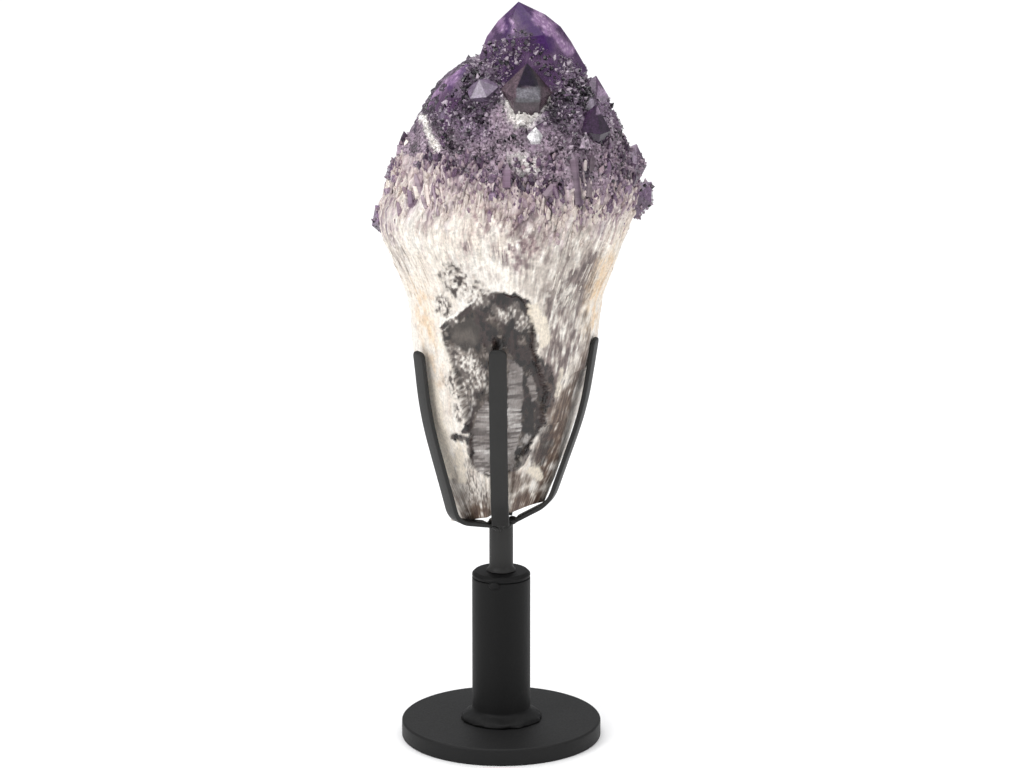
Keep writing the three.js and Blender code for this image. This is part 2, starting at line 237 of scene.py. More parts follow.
# Post
# A length of round tube, stood on the disc and welded all round. The weld's ripples show through
# the coat as low lumps.
POST_RADIUS = 15.9
POST_WALL = 3.2
POST_TOP = 90.4
WELD_RADIUS = 22.8
WELD_TALL = 5.4
AIR = 0.3


def lattice(place, seed):
    """A fixed chance value, 0 to 1, for each place of whole numbers."""
    x, y, z = (place[..., i].astype(np.int64) for i in range(3))
    mixed = (x * 73856093) ^ (y * 19349663) ^ (z * 83492791) ^ (seed * 2654435761)
    mixed = ((mixed ^ (mixed >> 13)) * 1274126177) & 0x7FFFFFFFFFFF
    return ((mixed ^ (mixed >> 16)) & 0xFFFF) / 65535


def noise(points, size, seed=0):
    """Smooth noise, -1 to 1, with lumps of a size in millimetres, or of a size for each axis."""
    place = np.asarray(points, float) / size
    whole = np.floor(place)
    part = place - whole
    part = part * part * (3 - 2 * part)
    total = 0
    for corner in product((0, 1), repeat=3):
        share = np.prod(np.where(corner, part, 1 - part), -1)
        total = total + share * lattice(whole + corner, seed)
    return 2 * total - 1


def layered(points, size, seed=0, layers=3):
    """Noise with finer noise on it, each layer half the size and half the height."""
    size = np.asarray(size, float)
    return sum(noise(points, size / 2**i, seed + i) / 2**i for i in range(layers)) / (2 - 2 ** (1 - layers))


def weld_ripple(points):
    """Lumps along the foot weld, and none on the tube above it."""
    share = np.clip((DISC_THICK + AIR + WELD_TALL - points[:, 2]) / WELD_TALL, 0, 1)
    out = 0.8 * noise(points, (5, 5, 3), 4) + 0.5 * noise(points, 2.2, 5)
    scale = 1 + (share * out - 0.35 * share) / WELD_RADIUS
    return points * np.stack([scale, scale, np.ones_like(scale)], 1)


POST_COLUMNS = 144
foot = DISC_THICK + AIR
post_profile = rounded(
    [(WELD_RADIUS - 4, foot), (WELD_RADIUS, foot), (WELD_RADIUS - 1.2, foot + 2.1), (18.4, foot + 3.9),
     (POST_RADIUS, foot + WELD_TALL), (POST_RADIUS, POST_TOP - 0.5), (POST_RADIUS - 0.5, POST_TOP),
     (POST_RADIUS - POST_WALL, POST_TOP)], 1.2)
bore = POST_RADIUS - POST_WALL
post_points, post_faces = turned([*post_profile, (bore, foot)], POST_COLUMNS, weld_ripple)
post_faces = post_faces[1:-1]
last = len(post_points) - POST_COLUMNS
for i in range(POST_COLUMNS):
    after = (i + 1) % POST_COLUMNS
    post_faces.append([last + i, last + after, after, i])
add_piece("post", post_points, post_faces, shaded_tube_coat, "post_tube")


# Cap
# A round slug let into the top of the tube, with its edge turned down. One tack of weld at the
# seam holds it.
CAP_THICK = 3.1
cap_low = POST_TOP + AIR
cap_top = cap_low + CAP_THICK
cap_profile = rounded(
    [(4, cap_low), (POST_RADIUS, cap_low), (POST_RADIUS, cap_top - 1.5), (POST_RADIUS - 1.6, cap_top),
     (4, cap_top)], 0.5)
cap_profile = [(0.02, cap_low), *cap_profile, (0.02, cap_top)]
add_piece("cap_plate", *turned(cap_profile, POST_COLUMNS), shaded_tube_coat, "post_cap")


def turned_to(azimuth):
    """The matrix that turns points from the front to an azimuth in degrees."""
    a = math.radians(azimuth)
    return np.array([[math.cos(a), math.sin(a), 0], [-math.sin(a), math.cos(a), 0], [0, 0, 1]])


def weld_bead(name, place, size, azimuth, material, node, seed):
    """A blob of weld metal at [distance, height] on an azimuth, lumpy all over."""
    ball = bmesh.new()
    bmesh.ops.create_icosphere(ball, subdivisions=4, radius=1)
    points = np.array([v.co for v in ball.verts])
    faces = [[v.index for v in f.verts] for f in ball.faces]
    ball.free()
    points = points * (1 + 0.12 * layered(points, 0.7, seed)[:, None]) * size
    points = (points + (0, -place[0], place[1])) @ turned_to(azimuth)
    add_piece(name, points, faces, material, node)


weld_bead("tack_weld", (POST_RADIUS, 89.4), (3.2, 1.4, 2.1), -13.5, shaded_tube_coat, "post_cap", 3)


# Rod
# A round bar stood on the cap with a small fillet of weld, and the pile of weld at its head where
# the four straps come together.
ROD_RADIUS = 6.5
ROD_TOP = 119
rod_foot = cap_top + AIR
rod_profile = rounded(
    [(2, rod_foot), (8.4, rod_foot), (7.2, rod_foot + 1), (ROD_RADIUS, rod_foot + 2.4), (ROD_RADIUS, ROD_TOP),
     (6.1, ROD_TOP + 3.2), (3.4, ROD_TOP + 5), (1, ROD_TOP + 5.6)], 0.8)


def hand_weld(points):
    """Lumps on both welds, and a plain bar between them."""
    near_foot = np.clip((rod_foot + 2.6 - points[:, 2]) / 2.6, 0, 1)
    near_head = np.clip((points[:, 2] - ROD_TOP + 2) / 3, 0, 1)
    scale = 1 + 0.06 * np.maximum(near_foot, near_head) * layered(points, 2.6, 8)
    return points * np.stack([scale, scale, np.ones_like(scale)], 1)


add_piece("rod_bar", *turned(rod_profile, 96, hand_weld), lit_bar_coat, "rod")
HUB_WELDS = [  # azimuth, distance from the axis, height, radius
    (-58, 6.2, 120.7, 2.8),
    (-30, 5.6, 119.8, 2.3),
    (-2, 6.2, 121.5, 2.9),
    (-14, 6.6, 118.9, 1.9),
    (36, 5.6, 120.6, 2.5),
    (74, 6.2, 122.5, 2.9),
    (122, 5, 121.2, 2.6),
    (172, 6.2, 121.9, 2.8),
    (-120, 5, 120.8, 2.6),
]
for count, (azimuth, distance, height, radius) in enumerate(HUB_WELDS):
    weld_bead(f"hub_weld_{count}", (distance, height), (radius, radius, radius * 0.8), azimuth, lit_bar_coat,
              "rod", 11 + count)


# Straps
# Four lengths of flat bar, 10 by 2.4 mm, bent by hand round the stone and welded to the rod. Their
# ends are ground round, and no two are bent quite alike.
STRAP_WIDE = 9.5
STRAP_THICK = 2.4
STRAP_CORNER = 0.55
STRAP_TIP = 3.6
STRAP_BENDS = (7, 16)  # how far from a corner its bend starts, at the foot and half way up
STRAPS = {  # azimuth, and the line's hub, two corners and tip as [distance from the axis, height]
    "prong_front": (-2, [(9.4, 122.4), (24.4, 139.8), (41, 190), (48.4, 229.4)]),
    "prong_left": (-58, [(9.6, 121.4), (29.6, 126), (47.2, 187), (51.6, 223.4)]),
    "prong_right": (74, [(9.4, 123.8), (27.6, 134.6), (46.1, 188), (52.4, 227.8)]),
    "prong_back": (172, [(9.4, 122.8), (27, 137.5), (43.6, 190), (49.6, 226)]),
}


def bent_line(line):
    """The middle line of a strap with its two corners bent round, as evenly spaced points."""
    hub, first, second, tip = (Vector(p) for p in line)
    points = [hub]
    for corner, before, after, reach in zip((first, second), (hub, first), (second, tip), STRAP_BENDS):
        start = corner + (before - corner).normalized() * reach
        end = corner + (after - corner).normalized() * reach
        points += [start * (1 - t) ** 2 + corner * 2 * t * (1 - t) + end * t * t
                   for t in np.linspace(0, 1, 17)]
    points = np.array([*points, tip])
    run = np.concatenate([[0], np.cumsum(np.linalg.norm(np.diff(points, axis=0), axis=1))])
    even = np.linspace(0, run[-1], 110)
    even = np.concatenate([even[:-1], run[-1] - STRAP_TIP * np.array([0.8, 0.6, 0.4, 0.25, 0.12, 0.04, 0])])
    even = np.unique(np.round(even, 3))
    return np.stack([np.interp(even, run, points[:, i]) for i in (0, 1)], 1), even


for count, (name, (azimuth, line)) in enumerate(STRAPS.items()):
    middle, run = bent_line(line)
    along = np.gradient(middle, axis=0)
    along /= np.linalg.norm(along, axis=1)[:, None]
    outward = np.stack([along[:, 1], -along[:, 0]], 1)
    left = np.clip(STRAP_TIP - (run[-1] - run), 0, STRAP_TIP)
    half_wide = STRAP_WIDE / 2 - STRAP_TIP + np.sqrt(np.maximum(STRAP_TIP**2 - left**2, 0.01))
    half_thick = STRAP_THICK / 2 * np.sqrt(np.maximum(1 - (left / STRAP_TIP) ** 6 * 0.92, 0.03))
    section = []
    for quarter in range(4):
        for step in range(4):
            angle = math.radians(quarter * 90 + step * 30)
            side = (1 if quarter in (0, 3) else -1, 1 if quarter in (0, 1) else -1)
            section.append((side, (math.cos(angle), math.sin(angle))))
    rows = []
    for point, out, wide, thick in zip(middle, outward, half_wide, half_thick):
        round_off = min(STRAP_CORNER, thick * 0.9, wide * 0.9)
        row = []
        for (side_x, side_y), (dx, dy) in section:
            across = side_x * (wide - round_off) + dx * round_off
            proud = side_y * (thick - round_off) + dy * round_off
            row.append((across, -(point[0] + out[0] * proud), point[1] + out[1] * proud))
        rows.append(row)
    points = np.array(rows).reshape(-1, 3)
    points[:, 1] += 0.1 * layered(points, (9, 9, 14), 30 + count)
    faces = grid_faces(len(rows), len(section))
    add_piece(name.replace("prong", "strap"), points @ turned_to(azimuth), faces, lit_bar_coat, name)


# Stone
# One cluster of quartz, grown as a single piece. White fibrous quartz fans out from a broken foot
# and ends in amethyst. Its outline is [height, left, right, front, back].
OUTLINE = np.array([
    [112, -27.5, 20, 12.5, 19],
    [134, -29.2, 24.4, 17.4, 23],
    [157, -35.6, 32, 26, 29.5],
    [173, -40.6, 37.4, 31.2, 34],
    [186, -43.4, 41.6, 35.2, 37],
    [200, -45.4, 45.8, 38.6, 39.8],
    [223, -47.4, 50.8, 43.4, 43.2],
    [236, -48.6, 52.6, 45.8, 45],
    [250, -50, 54.4, 47.8, 47.2],
    [262, -54.4, 59, 50.4, 50.6],
    [275, -60, 64, 54.2, 55],
    [286, -64.4, 67.4, 57.4, 58],
    [296, -65.4, 70.6, 59, 59.4],
    [306, -60.6, 73, 57.6, 58.6],
    [318, -56.4, 71, 53.6, 55.6],
    [330, -51, 65.6, 48.6, 51],
    [341, -44.6, 58, 43, 45.6],
    [352, -39, 52.4, 36.6, 39.6],
    [362, -34, 46.4, 29.6, 32.6],
    [372, -23, 38.4, 22, 25],
    [380, -8, 29, 14, 16],
])
ROUNDNESS = 2.2
FAN_LOW = 226
FAN_HIGH = 304
SLOPE = 0.225  # the broken underside rises to the right
DIP = 0.1  # and a little to the front
UNDERSIDE = 128.2
BREAKS = [  # flat chips out of the foot: azimuth, height, depth, tilt
    (-34, 146, 1.4, 20),
    (36, 150, 1.8, 20),
    (64, 178, 1.4, 14),
    (118, 165, 2.2, 16),
    (205, 152, 2.4, 15),
    (160, 205, 1.8, 7),
    (-112, 185, 1.6, 12),
]
WINDOW = np.array([  # the outline of the broken, glassy window on the front, as [x, height]
    (-31.7, 237), (-24, 246), (-12, 258), (-1.5, 261.5), (9.6, 257.5), (16.6, 250), (18.4, 228), (26, 200),
    (23, 184), (12, 166), (3.5, 155), (-7, 153), (-16.5, 160), (-17.6, 182), (-25, 212),
])
WINDOW_HEIGHT = 205
WINDOW_FRONT = -35.6
WINDOW_RIDGE = -4
WINDOW_TURN = math.tan(math.radians(9))
WINDOW_LEAN = math.tan(math.radians(13.6))
FLOW_RADIUS = 50
FAN_SPREAD = 0.3
FAN_BEND = (235, 310)  # the heights between which the fibres fan out


def ease(low, high, value):
    t = np.clip((value - low) / (high - low), 0, 1)
    return t * t * (3 - 2 * t)


def blend(a, b, share):
    return a + (b - a) * share


def outline_at(height):
    """The stone's axis, half width and two depths at some heights, eased over the outline's bends."""
    steps = (-4, -2, 0, 2, 4)
    sides = [sum(np.interp(height + step, OUTLINE[:, 0], OUTLINE[:, i]) for step in steps) / len(steps)
             for i in range(1, 5)]
    return (sides[0] + sides[1]) / 2, (sides[1] - sides[0]) / 2, sides[2], sides[3]


def plain_reach(azimuth, height):
    """How far the plain outline is from the axis, in a direction given in radians from the front."""
    _, half, front, back = outline_at(height)
    across, forward = np.sin(azimuth), np.cos(azimuth)
    depth = np.where(forward > 0, front, back)
    return (np.abs(across / half) ** ROUNDNESS + np.abs(forward / depth) ** ROUNDNESS) ** (-1 / ROUNDNESS)


def at_reach(azimuth, height, reach):
    middle = outline_at(height)[0]
    return np.stack([middle + reach * np.sin(azimuth), -reach * np.cos(azimuth), height + 0 * reach], -1)


def flow_of(azimuth, height):
    """A place that follows the stone's fibres: the same all the way up one fibre, but for its height."""
    root = azimuth - FAN_SPREAD / 2 * ease(*FAN_BEND, height) * np.sin(2 * azimuth)
    return np.stack([FLOW_RADIUS * np.sin(root), -FLOW_RADIUS * np.cos(root), height], -1)


def gap_to(points, start, end):
    """How far some flat points are from the line between two places."""
    side = end - start
    share = np.clip((points - start) @ side / (side @ side), 0, 1)
    return np.linalg.norm(points - start - share[:, None] * side, axis=1)


def depth_inside(points, outline):
    """How far inside a closed outline some flat points are. Outside it is less than nothing."""
    nearest = np.full(len(points), 1e9)
    inside = np.zeros(len(points), bool)
    for start, end in zip(outline, np.roll(outline, -1, axis=0)):
        nearest = np.minimum(nearest, gap_to(points, start, end))
        crosses = (start[1] > points[:, 1]) != (end[1] > points[:, 1])
        rise = end[1] - start[1] if end[1] != start[1] else 1
        inside ^= crosses & (points[:, 0] < start[0] + (points[:, 1] - start[1]) * (end - start)[0] / rise)
    return np.where(inside, nearest, -nearest)


def in_window(points):
    """1 in the broken window on the front, 0 off it, with a ragged edge between."""
    ragged = 1.6 * layered(points, 6, 60) + 0.6 * layered(points, 1.8, 61)
    inside = depth_inside(points[:, [0, 2]], WINDOW) + ragged
    return ease(-0.6, 0.9, inside) * (points[:, 1] < 0)


def window_reach(azimuth, height):
    """How far the two broken panes are from the axis. They meet at a low ridge."""
    middle = outline_at(height)[0]
    plane = WINDOW_FRONT - (height - WINDOW_HEIGHT) * WINDOW_LEAN
    offset = WINDOW_TURN * (middle - WINDOW_RIDGE)
    right = -(plane + offset) / np.maximum(np.cos(azimuth) + WINDOW_TURN * np.sin(azimuth), 0.05)
    left = -(plane - offset) / np.maximum(np.cos(azimuth) - WINDOW_TURN * np.sin(azimuth), 0.05)
    return np.minimum(left, right)


def broken_reach(azimuth, height, reach):
    """The skin cut back to each flat break."""
    middle = outline_at(height)[0]
    for turn, level, depth, tilt in BREAKS:
        turn = np.radians(turn)
        tilt = np.radians(tilt)
        normal = np.array([np.cos(tilt) * np.sin(turn), -np.cos(tilt) * np.cos(turn), -np.sin(tilt)])
        level = np.array(float(level))
        place = at_reach(turn, level, plain_reach(turn, level) - depth)
        leaning = np.sin(azimuth) * normal[0] - np.cos(azimuth) * normal[1]
        start = (place[0] - middle) * normal[0] + place[1] * normal[1] + (place[2] - height) * normal[2]
        cut = np.where(leaning > 0.3, start / np.maximum(leaning, 0.3), 1e9)
        near = np.abs(height - level) < 33
        reach = np.where(near, np.minimum(reach, cut), reach)
    return reach


def clear_of_straps(azimuth, height, reach):
    """The skin held just inside each strap that passes it."""
    middle = outline_at(height)[0]
    for turn, line in STRAPS.values():
        turn = np.radians(turn)
        bent, _ = bent_line(line)
        inner = np.interp(height, bent[:, 1], bent[:, 0]) - STRAP_THICK / 2 - 0.35
        forward = np.cos(azimuth - turn)
        across = middle * np.cos(turn) + reach * np.sin(azimuth - turn)
        limit = (inner - middle * np.sin(turn)) / np.maximum(forward, 0.1)
        beside = ease(STRAP_WIDE / 2 + 2.2, STRAP_WIDE / 2 + 0.7, np.abs(across))
        beside = beside * (forward > 0.5) * (height < line[3][1] + 1.5)
        reach = np.where(reach > limit, blend(reach, limit, beside), reach)
    return reach


def skin_reach(azimuth, height):
    """How far the stone's skin is from its axis, with its lumps, fibres, panes and breaks."""
    flow = flow_of(azimuth, height)
    fan = ease(FAN_LOW, FAN_HIGH, height)
    reach = plain_reach(azimuth, height)
    lumps = layered(at_reach(azimuth, height, reach), 3.4, 45, 2)
    knobbly = ease(FAN_HIGH - 20, FAN_HIGH + 8, height)
    reach = reach + blend(1.5, 0.8, fan) * layered(flow, (24, 24, 42), 40)
    creases = np.abs(layered(flow, (5, 5, 36), 41, 2)) * 2 - 0.55
    reach = reach + blend(0.5, 1.7, fan) * (1 - knobbly) * creases
    reach = reach + blend(0.5, 0.9, fan) * layered(flow, (2, 2, 15), 44)
    reach = reach + 1.9 * knobbly * lumps + 0.32 * layered(flow, 2, 48)
    reach = broken_reach(azimuth, height, reach)
    window = in_window(at_reach(azimuth, height, reach))
    pane = window_reach(azimuth, height)
    steps = np.floor(3 * layered(flow, (11, 11, 17), 52) + 0.5) / 3
    pane = pane + 0.9 * steps + 0.35 * layered(flow, (3, 3, 8), 55)
    reach = blend(reach, np.minimum(reach, pane), window)
    return clear_of_straps(azimuth, height, reach)


def stored(piece, name, kind, values, domain="POINT"):
    """Keeps a value at each point or face of a piece, for its material to read."""
    field = {"FLOAT": "value", "FLOAT_VECTOR": "vector", "FLOAT_COLOR": "color"}[kind]
    piece.data.attributes.new(name, kind, domain).data.foreach_set(field, np.asarray(values, float).ravel())


def painted_on(colour, code, share):
    """Colours with one more laid over them, by a share at each point."""
    return blend(colour, np.array(linear(code)[:3]), np.clip(share, 0, 1)[:, None])


def strokes(points, lines, seed, soft=0.35):
    """A share at each point of the front, from strokes of [x, height] places, half width and strength."""
    wander = np.stack([layered(points, 8, seed + 3), layered(points, 8, seed + 6)], 1)
    flat = points[:, [0, 2]] + 2.6 * wander
    frayed = layered(points, (1.8, 1.8, 3.4), seed, 3)
    total = np.zeros(len(points))
    for *line, wide, strength in lines:
        line = np.array(line, float)
        gap = np.min([gap_to(flat, a, b) for a, b in zip(line, line[1:])], axis=0)
        total = np.maximum(total, strength * ease(1 + soft, 1 - soft, gap / wide + 0.8 * frayed))
    return total * (points[:, 1] < 6)


def patches(points, outlines, seed, soft=0.8):
    """A share at each point of the front: 1 inside outlines of [x, height], with ragged edges."""
    wander = np.stack([layered(points, 6, seed + 3), layered(points, 6, seed + 6)], 1)
    flat = points[:, [0, 2]] + 1.3 * wander
    frayed = 1.2 * layered(points, (1.8, 1.8, 3.4), seed, 3)
    total = np.zeros(len(points))
    for outline in outlines:
        total = np.maximum(total, ease(-soft, soft, depth_inside(flat, np.array(outline)) + frayed))
    return total * (points[:, 1] < 6)


# Where the markings of the front lie. A stroke is some [x, height] places, then its half width and
# strength. A patch is an outline of [x, height] places. Smoky quartz frames the window. Pale plates
# and one dark pane lie in it. Speckle, rust, brown and cream are on the foot. Grey, mauve, lilac and
# black run up into the fan.
SMOKY = [
    ((-30, 240), (-24, 245), (-16, 252), (-9, 258.4), 1.5, 1),
    ((-9, 257.4), (-3, 258.6), (6, 258), (12, 254), (15, 249), 2.2, 1),
    ((-9, 253), (-11, 240), (-8, 232), 3, 1),
    ((0, 254), (3, 241), (6, 234), 4.4, 1),
    ((14, 248), (17, 237), (17, 228), 2.2, 0.9),
    ((4, 231), (11, 219), 2.4, 1),
    ((6, 233), (14, 222), (22, 208), (25, 197), 3.2, 1),
    ((16, 225), (25, 216), (28, 203.5), 2.4, 0.8),
    ((12, 202), (19, 194), (23, 184), 1.8, 0.9),
    ((13, 205), (13.5, 188), 1.4, 0.8),
    ((-9, 216), (-12.4, 205), (-16.4, 191), (-18, 180), 2, 1),
    ((-24, 176.5), (-18, 175.5), (-15, 171), 2.4, 0.9),
    ((-16.5, 169), (-12.6, 158), (-5, 154.6), 1.3, 0.8),
    ((6, 157), (10.7, 162), (15.6, 169), 1.7, 0.8),
    ((21, 186), (25, 172), (19, 160), 3.6, 0.6),
]
VEIN = [((-6, 284), (2, 279), (9, 274), (14, 277), 2, 0.6), ((8, 290), (12, 280), 3, 0.5)]
PANE = [[(-27, 239), (-16, 246), (-11.5, 241), (-12, 231), (-19, 226), (-25.5, 231)]]
PANE_LIGHT = [((-22, 236), (-17, 234), 3.4, 0.7)]
PLATES = [
    [(-8.4, 198), (-5, 196), (-5, 156), (-12.6, 157.4), (-15.6, 169), (-15, 180), (-12, 189.4)],
    [(4, 222), (10.6, 217), (11.8, 202), (10.8, 188), (8.8, 171), (6.2, 157), (3, 157)],
    [(13.6, 211), (16.4, 212), (19.6, 198), (17.6, 196)],
]
BRIGHT = [
    ((10, 171), (13.6, 175), 1.5, 0.7),
    ((-11.5, 156), (-5.6, 155.6), 0.5, 1),
    ((-14, 197), (-17.5, 184), 0.5, 0.5),
]
EDGE = [((-31.6, 239), (-30, 243.4), (-23.4, 249.4), (-14, 256.2), 0.9, 1)]
SPECKLES = [
    ((-27, 271), (-24, 262), 5, 1),
    ((-22, 268), (-13, 260), 6, 1),
    ((-30, 252), (-27, 247), 4, 1),
    ((-22, 224), (-16, 217), (-12, 210), 5, 1),
    ((-27, 209), (-19, 197), 4.4, 0.9),
    ((-19, 205), (-21, 190), 4, 0.9),
    ((-19, 156), (-12, 143), 6, 0.7),
    ((-3.5, 252), (3, 246), 2.2, 0.8),
    ((7, 250), (12, 242), 2.8, 0.8),
    ((28, 262), (34, 256), 5, 0.4),
]
RUST = [
    ((-43, 258), (-40, 242), (-38, 230), 4, 0.7),
    ((-37, 220), (-34, 208), 3.6, 0.6),
    ((55, 274), (52, 262), (49.5, 250), (47.4, 234), 4.4, 0.9),
]
BROWN = [
    [(40.3, 206), (38, 190), (32, 165), (27, 146), (19, 142), (17.5, 166), (25, 184), (31.5, 203)],
    [(-23, 128), (-18, 138), (-6, 141), (-5, 125), (-20, 124)],
    [(5, 141), (15, 144), (23, 141), (22, 130), (4, 128)],
]
BROWN_LINES = [
    ((-23, 168), (-19, 150), (-17, 138), 2, 0.7),
    ((4, 158), (9, 149), 3.4, 0.8),
    ((24, 206), (27, 190), 4, 0.7),
    ((44, 246), (46, 232), (43, 216), 1.6, 0.6),
    ((-30, 160), (-26, 146), (-22, 136), 2.4, 0.6),
    ((-32, 142), (-20, 137), (-8, 136), 6, 0.6),
    ((4, 146), (12, 150), 4, 0.7),
    ((40, 214), (44, 200), 3, 0.5),
]
CREAM = [
    ((16, 156), (20, 150), 3.2, 1),
    ((18, 252), (22, 240), (23, 232), 3.3, 1),
    ((-23, 170), (-21, 150), 2.6, 0.8),
    ((-36, 204), (-31, 172), (-27, 152), 3, 0.8),
    ((33, 214), (31, 200), 1.3, 0.7),
]
GREY = [
    ((47, 274), (37.5, 263), (27, 248.5), 5.4, 1),
    ((36, 246), (34, 232), 6, 0.7),
    ((14, 300), (20, 284), (23, 270), 8, 0.5),
    ((34, 264), (26, 254), (25, 244), 5, 0.9),
    ((44, 262), (38, 250), (33, 238), 5, 0.8),
    ((38, 232), (31, 217), (25, 196), 5.5, 1),
    ((30, 240), (28, 226), (24, 214), 5, 1),
    ((46, 229), (40, 205), 3, 0.8),
    ((27, 264), (36, 278), 9, 0.6),
    ((12, 268), (22, 260), 5, 0.45),
    ((40, 288), (32, 274), 9, 0.5),
    ((-58, 284), (-52, 268), 4, 0.5),
]
MAUVE = [
    ((6, 300), (10, 291), (15, 287), 6, 0.9),
    ((9, 289), (3, 283), 4.5, 0.8),
    ((10, 284), (9, 276), 4, 0.8),
    ((-18.5, 288), (-18, 285), 2.4, 0.8),
    ((-12, 306), (-9, 298), 5, 0.6),
    ((22, 304), (26, 292), 4, 0.6),
]
LILAC = [
    ((8, 314), (14, 304), 8, 0.7),
    ((26, 304), (30, 290), 5, 0.8),
    ((40, 314), (42, 300), 6, 0.8),
    ((50, 306), (54, 294), 5, 0.6),
    ((-61, 302), (-64, 292), (-58, 288), 6, 1),
]
BLACK = [
    ((25, 309), (26.5, 302), 1.1, 0.8),
    ((27, 305), (29, 296), 1.3, 0.9),
    ((41, 318), (42, 306), 1.4, 0.7),
    ((31, 320), (33, 309), 1.1, 0.6),
]


def fan_top(points):
    """The height at which the fan gives way to druzy: higher on the left of the front than on its right."""
    return 317 + ease(20, -20, points[:, 1]) * blend(9, -7, ease(-38, 45, points[:, 0]))


def amethyst_share(points, azimuth, height):
    """How far the fan has turned from white quartz to amethyst. Single fibres turn early or late."""
    flow = flow_of(azimuth, height)
    border = fan_top(points) - 6 + 8 * noise(flow, (26, 26, 400), 100)
    early = 26 * layered(flow, (2.2, 2.2, 26), 101, 3) + 20 * layered(flow, (7, 7, 60), 105, 2)
    turned = ease(border - 18, border + 20, height + early)
    streaky = ease(-0.25, 0.2, layered(flow, (2, 2, 11), 108))
    return np.maximum(turned, strokes(points, LILAC, 107) * streaky)


def skin_paint(points, azimuth, height):
    """The colour of the skin at each point, how glossy it is, and how clearly its fibres show."""
    flow = flow_of(azimuth, height)
    strand = layered(flow, (1.1, 1.1, 9), 70, 3)
    band = layered(flow, (5, 5, 30), 74, 2)
    cloud = layered(points, 13, 78, 3)
    mottle = layered(points, (3.4, 3.4, 5), 80, 3)
    grit = layered(points, (1.5, 1.5, 2.2), 134, 2)
    speck = layered(flow, (1.1, 1.1, 1.7), 82, 2)
    away = ease(-8, 16, points[:, 1])
    fanned = ease(250, 294, height)
    # Cream quartz, lighter and darker from band to band, with a rusty tinge at the back.
    colour = np.tile(linear("#f1e8dc")[:3], (len(points), 1))
    colour = painted_on(colour, "#f9f4ec", 0.7 * ease(-0.1, 0.3, band + 0.5 * mottle))
    colour = painted_on(colour, "#d3c4b7", 0.65 * ease(0.1, 0.5, mottle + 0.4 * cloud))
    colour = painted_on(colour, "#b8a6a0", blend(0.15, 0.55, fanned) * ease(0.05, 0.4, strand))
    colour = painted_on(colour, "#84706e", 0.5 * fanned * ease(0.3, 0.6, strand + 0.3 * band))
    colour = painted_on(colour, "#fbf8f2", 0.5 * ease(0.05, 0.4, -strand))
    colour = painted_on(colour, "#dda873", 0.5 * away * ease(0.15, 0.5, layered(flow, (18, 18, 40), 86)))
    upper = ease(284, 312, height)
    colour = painted_on(colour, "#c4aaa8", 0.6 * upper * ease(-0.25, 0.3, mottle + 0.5 * grit))
    # Amethyst in the upper part of the fan, darker and paler from fibre to fibre.
    lilac = amethyst_share(points, azimuth, height)
    colour = painted_on(colour, "#b39aa4", 0.75 * lilac)
    colour = painted_on(colour, "#5f465d", 0.7 * lilac * ease(0, 0.3, strand + 0.5 * band))
    colour = painted_on(colour, "#dfd0d2", 0.75 * lilac * ease(0.06, 0.35, -strand - 0.5 * grit))
    # Grey, mauve and rusty marks on the front, and brown stains low down.
    grey = strokes(points, GREY, 110, 0.6)
    colour = painted_on(colour, "#887975", 0.95 * grey * ease(-0.6, 0, strand + 0.5 * mottle))
    colour = painted_on(colour, "#5f5252", 0.75 * grey * ease(0.05, 0.35, strand + 0.7 * mottle))
    mauve = strokes(points, MAUVE, 136, 0.6)
    colour = painted_on(colour, "#a5888b", 0.8 * mauve * ease(-0.3, 0.1, grit))
    colour = painted_on(colour, "#5b454b", 0.85 * mauve * ease(0.1, 0.4, grit + 0.4 * mottle))
    colour = painted_on(colour, "#e4bd88", 0.75 * strokes(points, RUST, 112, 0.9) * ease(-0.5, 0.3, mottle))
    low = ease(215, 175, height + 18 * cloud)
    stained = away * low * ease(-0.15, 0.35, layered(flow, (12, 12, 34), 88, 4))
    colour = painted_on(colour, "#8d7b6f", 0.8 * stained * ease(-0.5, 0.1, strand + mottle))
    colour = painted_on(colour, "#54433a", 0.8 * stained * ease(0, 0.4, strand + 0.7 * grit + 0.5 * mottle))
    smear = away * ease(0.1, 0.45, layered(flow, (16, 16, 50), 90, 3)) * ease(190, 230, height)
    colour = painted_on(colour, "#a08f8c", 0.7 * smear * ease(-0.3, 0.2, strand + 0.5 * mottle))
    brown = np.maximum(patches(points, BROWN, 114, 3), strokes(points, BROWN_LINES, 160, 0.8))
    colour = painted_on(colour, "#7a6657", brown * ease(-0.9, -0.1, mottle + 0.6 * strand))
    colour = painted_on(colour, "#4a372e", 0.9 * brown * ease(-0.15, 0.25, 0.6 * mottle + strand))
    # The window: smoky glass with darker veils in it and a few pale grains.
    glass = in_window(points)
    veil = layered(points, (4, 4, 7), 116)
    colour = painted_on(colour, "#40362f", glass)
    colour = painted_on(colour, "#1c1513", 0.9 * glass * ease(-0.05, 0.22, veil))
    colour = painted_on(colour, "#7b6e66", 0.6 * glass * ease(0.14, 0.4, -veil))
    colour = painted_on(colour, "#100c0b", 0.8 * glass * ease(0.15, 0.4, grit + 0.5 * veil))
    colour = painted_on(colour, "#a0968e", 0.5 * glass * ease(0.3, 0.5, -grit - 0.5 * veil))
    smoke = strokes(points, SMOKY, 118, 0.3)
    colour = painted_on(colour, "#382a28", smoke)
    colour = painted_on(colour, "#140d0c", smoke * ease(0, 0.3, veil + 0.6 * grit))
    colour = painted_on(colour, "#6d5b5e", strokes(points, VEIN, 119, 0.8) * ease(-0.3, 0.2, strand))
